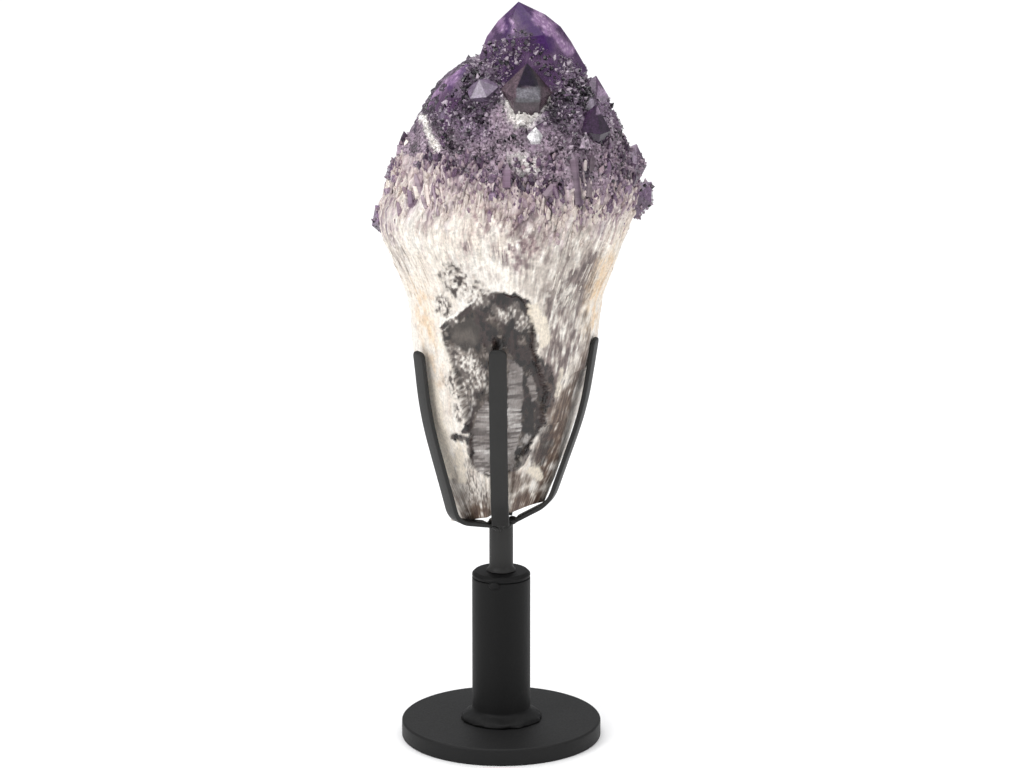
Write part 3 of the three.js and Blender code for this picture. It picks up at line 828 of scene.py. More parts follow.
    # Pale plates, ruled across with fine growth lines.
    plate = patches(points, PLATES, 120, 0.5)
    line = layered(points, (14, 14, 1.2), 122)
    colour = painted_on(colour, "#8f8682", 0.9 * plate)
    colour = painted_on(colour, "#bdb6b2", 0.6 * plate * ease(-0.1, 0.5, cloud))
    colour = painted_on(colour, "#564d4a", 0.85 * plate * ease(0.08, 0.3, line))
    colour = painted_on(colour, "#e0dbd7", 0.8 * plate * ease(0.22, 0.42, -line))
    # Black and white speckle, the dark pane, and the thin lines along broken edges.
    fleck = strokes(points, SPECKLES, 124, 0.6)
    colour = painted_on(colour, "#b3a89f", 0.7 * fleck)
    colour = painted_on(colour, "#453c39", fleck * ease(0, 0.35, speck + 0.5 * veil))
    colour = painted_on(colour, "#f1ebe3", fleck * ease(0.05, 0.35, -speck - 0.3 * veil))
    pane = patches(points, PANE, 132)
    colour = painted_on(colour, "#37302b", pane)
    colour = painted_on(colour, "#675e57", pane * strokes(points, PANE_LIGHT, 162, 0.9))
    colour = painted_on(colour, "#d8d1cc", strokes(points, BRIGHT, 164, 0.6) * ease(-0.4, 0.2, grit))
    colour = painted_on(colour, "#f4efe8", strokes(points, EDGE, 166, 0.3))
    colour = painted_on(colour, "#eadfce", strokes(points, CREAM, 126))
    colour = painted_on(colour, "#2c2029", strokes(points, BLACK, 128, 0.6))
    gloss = np.max([glass, smoke, 0.3 * brown, 0.5 * lilac], axis=0) * (1 - 0.6 * fleck)
    fibrous = np.max([blend(0.12, 0.9, fanned), 0.9 * grey], axis=0) * (1 - 0.6 * glass)
    return colour, gloss, fibrous


# White quartz is full of fine gas bubbles, so it is cream and nearly matt. Where it has broken or is
# smoky it turns to wet-looking glass. Fine fibres run up it like wood grain.
FIBRE_SIZE = (0.9, 0.9, 5)
CRUMB_SIZE = (1.1, 1.1, 1.7)
MULTIPLY = {"data_type": "RGBA", "blend_type": "MULTIPLY"}
quartz, quartz_output = new_material("fibrous_white_quartz")
quartz_flow = add_node(quartz, "ShaderNodeAttribute", {"attribute_name": "flow"}).outputs["Vector"]
quartz_tint = add_node(quartz, "ShaderNodeAttribute", {"attribute_name": "tint"}).outputs["Color"]
quartz_gloss = add_node(quartz, "ShaderNodeAttribute", {"attribute_name": "gloss"}).outputs["Fac"]
quartz_fibrous = add_node(quartz, "ShaderNodeAttribute", {"attribute_name": "fibrous"}).outputs["Fac"]
fibre_scale = [1 / size for size in FIBRE_SIZE]
crumb_scale = [1 / size for size in CRUMB_SIZE]
fibre_place = add_node(quartz, "ShaderNodeMapping", Vector=quartz_flow, Scale=fibre_scale).outputs[0]
fibre = add_node(quartz, "ShaderNodeTexNoise", Vector=fibre_place, Scale=1.0, Detail=4.0, Roughness=0.65)
crumb_place = add_node(quartz, "ShaderNodeMapping", Vector=quartz_flow, Scale=crumb_scale).outputs[0]
crumb = add_node(quartz, "ShaderNodeTexNoise", Vector=crumb_place, Scale=1.0, Detail=4.0, Roughness=0.65)
fibre_shade = add_node(quartz, "ShaderNodeMapRange", Value=fibre.outputs["Fac"], From_Min=0.36, From_Max=0.64,
                       To_Min=0.66, To_Max=1.22)
crumb_shade = add_node(quartz, "ShaderNodeMapRange", Value=crumb.outputs["Fac"], From_Min=0.34, From_Max=0.66,
                       To_Min=0.8, To_Max=1.16)
quartz_grained = add_node(quartz, "ShaderNodeMix", MULTIPLY, i0=1.0, i6=quartz_tint,
                          i7=crumb_shade.outputs[0])
quartz_colour = add_node(quartz, "ShaderNodeMix", MULTIPLY, i0=quartz_fibrous, i6=quartz_grained.outputs[2],
                         i7=fibre_shade.outputs[0])
quartz_relief = add_node(quartz, "ShaderNodeMath", {"operation": "MULTIPLY_ADD"}, i0=fibre_shade.outputs[0],
                         i1=0.6, i2=crumb_shade.outputs[0])
quartz_rough = add_node(quartz, "ShaderNodeMapRange", Value=quartz_gloss, To_Min=0.62, To_Max=0.17)
quartz_bump = add_node(quartz, "ShaderNodeBump", Height=quartz_relief.outputs[0], Strength=0.7,
                       Distance=0.24 * MM)
quartz_shader = add_node(quartz, "ShaderNodeBsdfPrincipled", Base_Color=quartz_colour.outputs[2],
                         Roughness=quartz_rough.outputs[0], IOR=1.544, Normal=quartz_bump.outputs["Normal"])
show_surface(quartz, quartz_output, quartz_shader)


def painted_quartz(piece, points, azimuth, colour, gloss, fibrous):
    """Stores what the quartz material reads at each point of a piece."""
    stored(piece, "flow", "FLOAT_VECTOR", flow_of(azimuth, points[:, 2]))
    stored(piece, "tint", "FLOAT_COLOR", np.c_[colour, np.ones(len(colour))])
    stored(piece, "gloss", "FLOAT", gloss)
    stored(piece, "fibrous", "FLOAT", fibrous)


SKIN_COLUMNS = 460
UNDER_ROWS = 18
FOOT_ROWS = 190
FAN_ROWS = 150
FOOT_LEVEL = 128.0
SKIN_JOINT = 268
JOINT_OVERLAP = 6
SKIN_RIM = 332


def add_skin(name, azimuth, height, points):
    """One closed band of skin, from rows of points that run round the stone."""
    rows = len(points) // SKIN_COLUMNS
    piece = add_piece(name, points, grid_faces(rows, SKIN_COLUMNS), quartz, "amethyst_point")
    painted_quartz(piece, points, azimuth, *skin_paint(points, azimuth, height))


def joint_sunk(azimuth, height, way):
    """How far a band of skin has sunk past the wavy line where the next band takes over from it."""
    line = SKIN_JOINT + 3 * noise(flow_of(azimuth, height), (9, 9, 400), 138)
    return 0.05 * np.maximum(way * (height - line), 0)


around = np.linspace(-np.pi, np.pi, SKIN_COLUMNS, endpoint=False)
rim_level = np.full(SKIN_COLUMNS, FOOT_LEVEL)
rim = at_reach(around, rim_level, plain_reach(around, rim_level))
rim_height = UNDERSIDE + SLOPE * rim[:, 0] - DIP * rim[:, 1]
heights = rim_height + (SKIN_JOINT + JOINT_OVERLAP - rim_height) * np.linspace(0, 1, FOOT_ROWS)[:, None]
azimuths = np.broadcast_to(around, heights.shape).ravel()
heights = heights.ravel()
sides = at_reach(azimuths, heights, skin_reach(azimuths, heights) - joint_sunk(azimuths, heights, 1))
shares = np.linspace(0.02, 0.985, UNDER_ROWS)[:, None, None]
centre = np.array([outline_at(np.array(126.0))[0], 0, UNDERSIDE])
under = (centre + (sides[:SKIN_COLUMNS] - centre) * shares).reshape(-1, 3)
# The underside is broken: its rings run in from the rim, and chips lift them here and there.
chipped = 1.6 * layered(under, 9, 130) + 0.5 * layered(under, 2.5, 134)
under[:, 2] += np.abs(chipped) * np.repeat(ease(1, 0.8, shares.ravel()), SKIN_COLUMNS)
foot_points = np.r_[under, sides]
foot_azimuths = np.r_[np.tile(around, len(shares)), azimuths]
add_skin("stone_foot", foot_azimuths, foot_points[:, 2], foot_points)

heights = np.repeat(np.linspace(SKIN_JOINT - JOINT_OVERLAP, SKIN_RIM, FAN_ROWS), SKIN_COLUMNS)
azimuths = np.tile(around, FAN_ROWS)
fan_points = at_reach(azimuths, heights, skin_reach(azimuths, heights) - joint_sunk(azimuths, heights, -1))
add_skin("stone_fan", azimuths, heights, fan_points)


# Fan columns
# Long thin crystals that stand side by side round the fan, grown with the stone. Each is white
# quartz at its root, and most turn to amethyst towards the tip.
COLUMN_COUNT = 2600
COLUMN_ROOTS = (246, 320)
COLUMN_LENGTHS = (5, 24)
COLUMN_RADII = (0.25, 0.8)
COLUMN_TOPS = (294, 330)
RIB_COUNT = 110  # ribs are the thick, long ones among them
RIB_ROOTS = (252, 290)
RIB_LENGTHS = (20, 44)
RIB_RADII = (0.8, 1.7)
SHOWN_COLUMNS = [  # the ones that stand out on the front: low and high end as x and z, radius, colour
    (-43, 310, -50, 332, 2.2, "#ede2d6"),
    (-37, 308, -41, 327, 1.4, "#e6d9cf"),
    (-30, 310, -33, 325, 1.0, "#dccdc6"),
    (-25, 306, -27, 322, 0.9, "#e3d6cd"),
    (-50, 300, -56, 322, 1.2, "#d9cac4"),
    (-46, 306, -52, 330, 2.2, "#6d5270"),
    (-53, 300, -59, 318, 2.0, "#7b5f7c"),
    (-39, 306, -44, 320, 1.4, "#8a6f86"),
    (-33, 303, -35, 317, 1.2, "#8a6f86"),
    (40, 309, 37, 331, 2.6, "#4d3653"),
    (46, 312, 48, 330, 2.3, "#433044"),
    (52, 308, 56, 326, 1.8, "#6b5070"),
    (43, 298, 43, 331, 0.9, "#d9cbc9"),
    (47, 292, 52, 322, 1.1, "#d4c3c0"),
    (52, 288, 59, 314, 1.1, "#cdb9b6"),
    (57, 284, 65, 308, 1.0, "#cab4ae"),
    (34, 296, 33, 318, 0.8, "#c8b4b6"),
    (23, 314, 27, 318, 2.6, "#5a3f5e"),
    (3.4, 319, 3.4, 326, 2.8, "#644669"),
    (27, 296, 27.5, 312, 0.7, "#dccfc8"),
    (24, 294, 23.5, 308, 0.7, "#d9c9c2"),
]


def unit(vectors):
    return vectors / np.linalg.norm(vectors, axis=-1, keepdims=True)


def crystals(roots, directions, radii, prisms, tips, sunk, seed, shoulders=(), spins=None, uneven=1):
    """Points and faces of many six-sided crystals, each a little uneven. With no prisms they are all tip."""
    chance = np.random.default_rng(seed)
    count = len(roots)
    radii, prisms, tips, sunk = (np.broadcast_to(v, count)[:, None] for v in (radii, prisms, tips, sunk))
    along = unit(np.asarray(directions, float))
    side = unit(np.cross(along, np.where(np.abs(along[:, 2:]) < 0.9, (0.0, 0, 1), (1.0, 0, 0))))
    other = np.cross(along, side)
    turned_by = chance.random(count) * np.pi / 3 if spins is None else np.radians(spins)
    turn = turned_by[:, None] + np.arange(6) * np.pi / 3
    wide = 1 + 0.22 * uneven * (chance.random((count, 6)) - 0.5)
    level = prisms + radii * 0.5 * uneven * (chance.random((count, 6)) - 0.5)
    rings = [(0.85 * radii * wide, -sunk + 0 * level), (radii * wide, level)]
    rings = rings if prisms.any() else [(radii * wide, -sunk + 0 * level)]
    for narrow, up in shoulders:
        rings.append((narrow * radii * wide, blend(level, prisms, up) + tips * up))
    rows = [roots[:, None] + (r * np.cos(turn))[..., None] * side[:, None]
            + (r * np.sin(turn))[..., None] * other[:, None] + h[..., None] * along[:, None]
            for r, h in rings]
    off = 0.12 * uneven * radii * (chance.random((count, 2)) - 0.5)
    top = roots + (prisms + tips) * along + off[:, :1] * side + off[:, 1:] * other
    points = np.concatenate([*rows, top[:, None]], axis=1)
    size = points.shape[1]
    one = [[5, 4, 3, 2, 1, 0]]
    for low in range(0, size - 7, 6):
        one += [[low + i, low + (i + 1) % 6, low + 6 + (i + 1) % 6, low + 6 + i] for i in range(6)]
    one += [[size - 7 + i, size - 7 + (i + 1) % 6, size - 1] for i in range(6)]
    faces = [[start + i for i in face] for start in range(0, count * size, size) for face in one]
    return points.reshape(-1, 3), faces, size


def front_turn(x, height):
    """The direction in which the stone's front stands at x, at a height."""
    turns = np.linspace(-1.5, 1.5, 301)
    levels = np.full(301, float(height))
    return np.interp(x, at_reach(turns, levels, plain_reach(turns, levels))[:, 0], turns)


chance = np.random.default_rng(21)
column_count = COLUMN_COUNT + RIB_COUNT
is_rib = np.arange(column_count) < RIB_COUNT
column_turn = chance.uniform(-np.pi, np.pi, column_count)


def drawn(rib_range, column_range):
    """A chance value for each column, from the ribs' range or from the others'."""
    ribs, others = (chance.uniform(*ends, column_count) for ends in (rib_range, column_range))
    return np.where(is_rib, ribs, others)


column_low = drawn(RIB_ROOTS, COLUMN_ROOTS)
column_long = drawn(RIB_LENGTHS, COLUMN_LENGTHS)
column_high = np.minimum(column_low + column_long, chance.uniform(*COLUMN_TOPS, column_count))
column_high = np.maximum(column_high, column_low + 3)
column_wide = drawn(RIB_RADII, COLUMN_RADII)
spread = ease(*FAN_BEND, column_high) - ease(*FAN_BEND, column_low)
end_turn = column_turn + FAN_SPREAD / 2 * spread * np.sin(2 * column_turn)
end_turn = end_turn + chance.normal(0, 0.02, column_count)
proud = chance.uniform(-0.9, 0.5, column_count)
proud = proud + 1.4 * ease(285, 320, column_high) * chance.random(column_count)
shown_turn, shown_end = (np.array([front_turn(row[i], row[i + 1]) for row in SHOWN_COLUMNS]) for i in (0, 2))
shown_low, shown_high, shown_wide = (np.array([row[i] for row in SHOWN_COLUMNS]) for i in (1, 3, 4))
column_turn, end_turn = np.r_[column_turn, shown_turn], np.r_[end_turn, shown_end]
column_low, column_high = np.r_[column_low, shown_low], np.r_[column_high, shown_high]
column_wide, proud = np.r_[column_wide, shown_wide], np.r_[proud, 0.5 + 0.3 * shown_wide]
column_sunk = np.where(np.arange(len(column_wide)) < column_count, 1.3, -0.2) * column_wide
column_roots = at_reach(column_turn, column_low, skin_reach(column_turn, column_low) - column_sunk)
column_ends = at_reach(end_turn, column_high, skin_reach(end_turn, column_high) + proud - 0.3 * column_wide)
# None grows over the window.
over_window = (column_roots[:, 1] < 0) & (np.abs(column_roots[:, 0] + 6) < 30) & (column_roots[:, 2] < 272)
kept = ~over_window
column_roots, column_ends, column_wide, column_turn = (
    v[kept] for v in (column_roots, column_ends, column_wide, column_turn))
column_count = kept.sum()
lengths = np.linalg.norm(column_ends - column_roots, axis=1)
points, faces, size = crystals(column_roots, column_ends - column_roots, column_wide, lengths * 0.95,
                               2 * column_wide, 1, 22)
columns = add_piece("fan_columns", points, faces, quartz, "amethyst_point", smooth=False)
turns = np.repeat(column_turn, size)
colour, gloss, fibrous = skin_paint(points, turns, points[:, 2])
shade = np.repeat(chance.random(column_count), size)
share = amethyst_share(points, turns, points[:, 2])
colour = painted_on(colour, "#f3ebe1", 0.7 * ease(0.66, 0.85, shade) * (1 - 0.85 * share))
colour = painted_on(colour, "#5d445c", 0.75 * share * ease(0.45, 0.2, shade))
shown = len(SHOWN_COLUMNS) * size
toned = np.repeat([linear(row[5])[:3] for row in SHOWN_COLUMNS], size, axis=0)
patchy = 1 + 0.35 * layered(points[-shown:], 1.6, 168)[:, None]
colour[-shown:] = blend(colour[-shown:], toned, 0.7) * patchy
painted_quartz(columns, points, turns, colour, gloss, fibrous)


# Large points
# The clear crystals at the top, with six sides and six-sided tips, grown with the rest. They are
# deep purple where the light goes through a lot of stone, and lilac at their thin edges.
POINTS = [  # root, radius, prism's and tip's length, lean, azimuth it leans to, spin, colour
    ((15.6, 0, 359), 31, 7.5, 40.5, 7, -90, 33, "#6d4d78"),
    ((-15, -9, 328), 29.5, 8, 39, 4, -99, 30, "#735479"),
    ((-40, -8, 323), 11, 6, 14, 15, -100, 30, "#4d3b52"),
    ((13.6, -26, 359), 14, 5, 15.4, 8, 5, 30, "#57464f"),
    ((-8, -22, 359), 9, 7, 6, 30, -30, 12, "#74647a"),
    ((-24, -22, 346), 8, 6.6, 5.4, 30, -35, 40, "#75657a"),
    ((47, -23, 337), 10, 7, 13, 12, 50, 26, "#3d2b42"),
    ((47, 2, 350), 9, 8, 9, 12, 100, 10, "#6d5670"),
    ((44, -14, 350), 6, 5, 4.4, 34, 60, 12, "#85768a"),
    # This near-white crystal is a painted reflection: the white glint of a softbox on one facet.
    ((17.6, -40, 339), 4.4, 4, 6, 24, 10, 38, "#fbf8fa"),
    ((56, 5, 332), 8, 8, 8.4, 14, 95, 50, "#7d697e"),
    ((67, -6, 318), 9, 6, 8.4, 20, 85, 20, "#7b667c"),
    ((71, 2, 298), 8.8, 6, 8.6, 40, 92, 44, "#86708a"),
    ((-53, 2, 311), 8, 4.4, 8, 24, -92, 16, "#6f5a73"),
    ((-60, -4, 290), 9, 3.6, 6.6, 42, -92, 36, "#7d6680"),
    ((14, 27, 350), 14, 7, 16, 12, 178, 14, "#5c4762"),
    ((-22, 27, 334), 10, 7, 11, 22, -140, 44, "#6d5674"),
    ((40, 31, 330), 11, 7, 13, 20, 140, 4, "#5c4762"),
]
SHOULDERS = ((0.935, 0.13), (0.78, 0.41), (0.64, 0.61), (0.41, 0.79))  # shares of radius and of tip

# Clear quartz, coloured all through and left as it grew. Its faces shine like glass, and light that
# comes through them turns purple with depth. Fine growth lines make them a little wavy.
clear, clear_output = new_material("clear_amethyst_crystal")
clear_place = add_node(clear, "ShaderNodeTexCoord").outputs["Object"]
clear_tint = add_node(clear, "ShaderNodeAttribute", {"attribute_name": "tint"}).outputs["Color"]
clear_haze = add_node(clear, "ShaderNodeAttribute", {"attribute_name": "clearness"}).outputs["Fac"]
growth_place = add_node(clear, "ShaderNodeMapping", Vector=clear_place, Scale=(250, 250, 1400)).outputs[0]
growth = add_node(clear, "ShaderNodeTexNoise", Vector=growth_place, Scale=1.0, Detail=3.0)
streak_place = add_node(clear, "ShaderNodeMapping", Vector=clear_place, Scale=(1500, 1500, 500)).outputs[0]
streak = add_node(clear, "ShaderNodeTexNoise", Vector=streak_place, Scale=1.0, Detail=4.0, Roughness=0.65)
streak_shade = add_node(clear, "ShaderNodeMapRange", Value=streak.outputs["Fac"], From_Min=0.35,
                        From_Max=0.65, To_Min=0.72, To_Max=1.3)
clear_colour = add_node(clear, "ShaderNodeMix", MULTIPLY, i0=1.0, i6=clear_tint, i7=streak_shade.outputs[0])
clear_bump = add_node(clear, "ShaderNodeBump", Height=growth.outputs["Fac"], Strength=0.35, Distance=0.3 * MM)
clear_shader = add_node(clear, "ShaderNodeBsdfPrincipled", Base_Color=clear_colour.outputs[2], Roughness=0.09,
                        IOR=1.544, Specular_IOR_Level=0.2, Transmission_Weight=clear_haze,
                        Normal=clear_bump.outputs["Normal"])
show_surface(clear, clear_output, clear_shader)
smoke_in = add_node(clear, "ShaderNodeVolumeAbsorption", Color=linear("#9c5aa6"), Density=85.0)
clear.node_tree.links.new(smoke_in.outputs["Volume"], clear_output.inputs["Volume"])


# The smaller points are so full of colour that little light comes through them.
deep, deep_output = new_material("deep_amethyst_crystal")
deep_place = add_node(deep, "ShaderNodeTexCoord").outputs["Object"]
deep_tint = add_node(deep, "ShaderNodeAttribute", {"attribute_name": "tint"}).outputs["Color"]
deep_cloud = add_node(deep, "ShaderNodeTexNoise", Vector=deep_place, Scale=1 / (4 * MM), Detail=5.0,
                      Roughness=0.65)
deep_shade = add_node(deep, "ShaderNodeMapRange", Value=deep_cloud.outputs["Fac"], From_Min=0.35,
                      From_Max=0.65, To_Min=0.65, To_Max=1.35)
deep_grain = add_node(deep, "ShaderNodeTexNoise", Vector=deep_place, Scale=1 / (0.9 * MM), Detail=3.0)
deep_speck = add_node(deep, "ShaderNodeMapRange", Value=deep_grain.outputs["Fac"], From_Min=0.35,
                      From_Max=0.65, To_Min=0.7, To_Max=1.35)
# The lit value of each face is painted light and shade that scales the colour.
deep_lit = add_node(deep, "ShaderNodeAttribute", {"attribute_name": "lit"}).outputs["Fac"]
deep_faced = add_node(deep, "ShaderNodeMath", {"operation": "MULTIPLY"}, i0=deep_shade.outputs[0],
                      i1=deep_lit)
deep_clouded = add_node(deep, "ShaderNodeMix", MULTIPLY, i0=1.0, i6=deep_tint, i7=deep_faced.outputs[0])
deep_colour = add_node(deep, "ShaderNodeMix", MULTIPLY, i0=1.0, i6=deep_clouded.outputs[2],
                       i7=deep_speck.outputs[0])
deep_bump = add_node(deep, "ShaderNodeBump", Height=deep_grain.outputs["Fac"], Strength=0.3,
                     Distance=0.2 * MM)
deep_shader = add_node(deep, "ShaderNodeBsdfPrincipled", Base_Color=deep_colour.outputs[2], Roughness=0.12,
                       IOR=1.544, Transmission_Weight=0.15, Normal=deep_bump.outputs["Normal"])
show_surface(deep, deep_output, deep_shader)


def leaning(lean, toward):
    """The direction that leans from upright towards an azimuth. Both are in degrees."""
    lean, toward = np.radians(lean), np.radians(toward)
    across = np.sin(lean)
    return np.stack([across * np.sin(toward), -across * np.cos(toward), np.cos(lean) + 0 * toward], -1)


def refined(points, faces, times):
    """The same faces, cut into triangles small enough to carry a painted pattern."""
    corners = np.array([(f[0], f[i], f[i + 1]) for f in faces for i in range(1, len(f) - 1)])
    for _ in range(times):
        sides = np.sort(np.concatenate([corners[:, [0, 1]], corners[:, [1, 2]], corners[:, [2, 0]]]), axis=1)
        sides, which = np.unique(sides, axis=0, return_inverse=True)
        ab, bc, ca = which.reshape(3, -1) + len(points)
        points = np.r_[points, points[sides].mean(1)]
        a, b, c = corners.T
        quarters = (a, ab, ca), (ab, b, bc), (ca, bc, c), (ab, bc, ca)
        corners = np.concatenate([np.stack(quarter, 1) for quarter in quarters])
    return points, corners.tolist()


# Where the colour lies in the points, as seen from the front: deep purple in the middle of the tip, milky
# pink bands along its edges with painted highlight streaks, and a few flat faces painted darker or lighter as
# shade and light.
TIP_DEEP = [
    ((9, 404), (12, 399.5), (19.6, 393), (25, 387), 3.6, 1),
    ((3, 397.4), (3.8, 392.8), 3, 0.85),
    ((-14, 380), (-19, 374), (-27, 365), 1.6, 0.8),
]
TIP_PINK = [
    ((18.5, 401), (25, 395.5), (31, 389), (37, 381), 1.9, 1),
    ((-3, 398), (0, 395), 2.4, 0.9),
    ((6.4, 398), (6.6, 394), 1, 0.9),
    ((-9, 390), (-5, 385), 3.4, 0.6),
    ((-21, 376), (-26, 371), (-32, 365), (-40, 354), 2.6, 0.9),
]
FACETS = [
    ([(14.2, 381), (8.4, 367.6), (20.2, 367.6)], "#1d1226"),
    ([(14.2, 380), (20.2, 367.6), (34, 362), (30, 372)], "#42333b"),
    ([(8.2, 367.4), (20.6, 367.4), (20.6, 360), (8.2, 360)], "#726f76"),
    ([(-13.5, 377), (-18.8, 371.5), (-18.4, 366.6), (-11.6, 371.4)], "#b0a5b1"),
    ([(51.5, 362), (58, 358), (58, 350), (50, 352)], "#ad95b0"),
]


def large_points(name, rows, seed, shoulders, material):
    """Crystals from their rows, with a painted pattern. On the deep ones, flat faces turned up and left are
    painted lighter: painted light from above left.
    """
    roots = np.array([row[0] for row in rows], float)
    radii, prisms, tips, leans, towards, spins = np.array([row[1:7] for row in rows], float).T
    ways = leaning(leans, towards)
    rough = crystals(roots, ways, radii, prisms, tips, 6, seed, shoulders, spins, 0.25)[:2]
    points, faces = refined(*rough, 4)
    nearest = np.argmin(np.linalg.norm(points[:, None] - (roots + ways * 9), axis=2) / radii, axis=1)
    colour = np.array([linear(row[7])[:3] for row in rows])[nearest]
    if material is clear:
        cloud = layered(points, 7, 150)
        grit = layered(points, (1.3, 1.3, 2.6), 152)
        deep_share = strokes(points, TIP_DEEP, 154, 0.8)
        pink_share = strokes(points, TIP_PINK, 156, 0.8)
        colour = painted_on(colour, "#472a5a", 0.7 * ease(0, 0.4, cloud))
        colour = painted_on(colour, "#9b7fa0", 0.5 * ease(0.1, 0.4, -cloud))
        colour = painted_on(colour, "#42225a", deep_share)
        colour = painted_on(colour, "#9f7ea6", 0.8 * pink_share)
        # Painted highlights: pale streaks in the pink bands, where the edges catch the light.
        colour = painted_on(colour, "#cdb0d0", 0.8 * pink_share * ease(0, 0.4, grit))
    else:
        # Painted shade and light: flat faces seen from the front are darkened or lightened for the way each
        # one faces.
        for outline, code in FACETS:
            share = ease(-0.3, 0.3, depth_inside(points[:, [0, 2]], np.array(outline)))
            colour = painted_on(colour, code, share * (points[:, 1] < 0))
    piece = add_piece(name, points, faces, material, "amethyst_point", smooth=False)
    stored(piece, "tint", "FLOAT_COLOR", np.c_[colour, np.ones(len(colour))])
    if material is clear:
        stored(piece, "clearness", "FLOAT", 0.5 - 0.35 * deep_share - 0.3 * pink_share)
    else:
        corners = points[np.array(faces)]
        normals = unit(np.cross(corners[:, 1] - corners[:, 0], corners[:, 2] - corners[:, 0]))
        # Painted light: faces turned up and left, towards the lights, are lighter.
        lit = 0.66 + 0.55 * np.maximum(normals @ unit(np.array([-0.5, -0.3, 0.8])), 0)
        stored(piece, "lit", "FLOAT", lit, "FACE")
    return rough


main_made = large_points("main_points", POINTS[:2], 31, SHOULDERS, clear)
side_made = large_points("side_points", POINTS[2:], 32, (), deep)


# Druzy
# A crust of small amethyst crystals over the whole top, from half a millimetre to three across. Each
# catches the light at its own angle.
BLOCK_ROWS = [  # rings of larger blocks under the crust: height, count, radius, lean
    (368, 7, 6.4, 14),
    (356, 9, 6.8, 18),
    (344, 11, 7, 23),
    (331, 12, 7.4, 28),
    (318, 13, 7.4, 33),
    (305, 14, 7.6, 39),
]
CRUST_COUNT = 15000
CRUST_RADII = (0.3, 0.75)
SMALL_COUNT = 3400
RIM_COUNT = 2800
BED_TRIES, BLOCK_TRIES, MAIN_TRIES, SIDE_TRIES, RIM_TRIES = 15500, 5000, 12000, 4200, 12000
CROWN_FOOT = 302
CROWN_TOP = 376
CROWN_ROWS = 130
CROWN_COLUMNS = 300
# Strokes of paler and darker druzy on the front, and outlines where none has grown.
PALE = [
    ((7, 359), (19, 360), 5, 1),
    ((9, 354), (16, 354), 4.6, 0.9),
    ((9, 331), (16, 329), 4.6, 0.7),
    ((-41, 346), (-34, 334), 1.8, 1),
]
LIGHT = [
    ((2, 352), (5, 334), 7, 0.7),
    ((-8, 334), (-11, 325), 6, 0.7),
    ((-36, 338), (-24, 326), 6, 0.5),
    ((24, 340), (32, 328), 6, 0.5),
    ((0, 378), (8, 372), 4, 0.4),
]
CLEAN = [
    [(14, 381), (8, 376), (2, 368), (6, 364.6), (22, 364.6), (26, 367), (21, 374)],
    [(42, 352), (40, 345), (44, 337), (52, 337), (56, 345), (54, 352), (48, 358)],
    [(14, 349), (13, 340), (17, 336), (22, 340), (21, 349)],
    [(-49, 326), (-41, 326), (-38, 338), (-42, 346), (-48, 340)],
    [(33, 310), (34, 330), (41, 335), (51, 334), (52, 312)],
    [(-40, 306), (-45, 336), (-55, 336), (-48, 306)],
]
DARK = [
    ((-22, 334), (-16, 322), 5, 0.8),
    ((29, 354), (33, 336), 6, 0.6),
    ((38, 338), (43, 320), 7, 0.7),
    ((-30, 358), (-34, 348), 5, 0.5),
    ((6, 390), (12, 382), 5, 0.4),
]
DRUZY_LINE = np.array([  # how far up the front of the main points the druzy reaches
    (-20, 380), (-9, 385), (1, 389), (7, 394.5), (16, 392.5), (21, 386.5), (29, 381.5), (39, 377), (50, 358),
])


def druzy_colour(points, tone):
    """The colour of small crystals: dull purple, paler or darker by chance and as painted light and shade,
    and white in a few places.
    """
    patch = layered(points, 9, 140, 3)
    tone = np.clip(tone + 0.5 * patch, 0, 1)
    # Painted shade: the darkest faces are near black, as the gaps between the crystals fall in shadow.
    colour = np.tile(linear("#170f1a")[:3], (len(points), 1))
    colour = painted_on(colour, "#6d5a70", ease(0.08, 0.5, tone))
    # Painted highlights: the palest faces are near white, as where a facet catches a softbox.
    colour = painted_on(colour, "#cbbcc9", ease(0.6, 0.95, tone))
    dusty = ease(354, 322, points[:, 2] + 10 * patch)
    colour = painted_on(colour, "#b29daa", 0.75 * dusty * ease(0, 0.45, tone))
    colour = painted_on(colour, "#bda8b6", strokes(points, LIGHT, 142, 0.8) * ease(0.1, 0.5, tone))
    colour = painted_on(colour, "#2b1f2e", strokes(points, DARK, 146, 0.8) * ease(0.9, 0.3, tone))
    return painted_on(colour, "#f7f2ed", strokes(points, PALE, 144, 0.7))


# The crust between the crystals that can be told apart is made of finer ones. Each cell of the pattern is one
# of them, with a tilt and a tone of its own, the tone partly its colour and partly painted light and shade on
# its face.
bed, bed_output = new_material("druzy_amethyst_bed")
bed_tint = add_node(bed, "ShaderNodeAttribute", {"attribute_name": "tint"}).outputs["Color"]
bed_place = add_node(bed, "ShaderNodeTexCoord").outputs["Object"]
bed_cell = add_node(bed, "ShaderNodeTexVoronoi", Vector=bed_place, Scale=1 / (1.1 * MM))
bed_tone = add_node(bed, "ShaderNodeSeparateColor", Color=bed_cell.outputs["Color"])
# Painted light and shade: each cell's tone scales the colour from dark to bright.
bed_shade = add_node(bed, "ShaderNodeMapRange", Value=bed_tone.outputs[0], To_Min=0.35, To_Max=1.75)
bed_colour = add_node(bed, "ShaderNodeMix", MULTIPLY, i0=1.0, i6=bed_tint, i7=bed_shade.outputs[0])
bed_tilt = add_node(bed, "ShaderNodeVectorMath", {"operation": "MULTIPLY_ADD"}, i0=bed_cell.outputs["Color"],
                    i1=(1.5, 1.5, 1.5), i2=(-0.75, -0.75, -0.75))
bed_normal = add_node(bed, "ShaderNodeNewGeometry").outputs["Normal"]
bed_facet = add_node(bed, "ShaderNodeVectorMath", i0=bed_normal, i1=bed_tilt.outputs[0])
bed_way = add_node(bed, "ShaderNodeVectorMath", {"operation": "NORMALIZE"}, i0=bed_facet.outputs[0])
bed_shader = add_node(bed, "ShaderNodeBsdfPrincipled", Base_Color=bed_colour.outputs[2], IOR=1.544,
                      Roughness=0.16, Normal=bed_way.outputs[0])
show_surface(bed, bed_output, bed_shader)

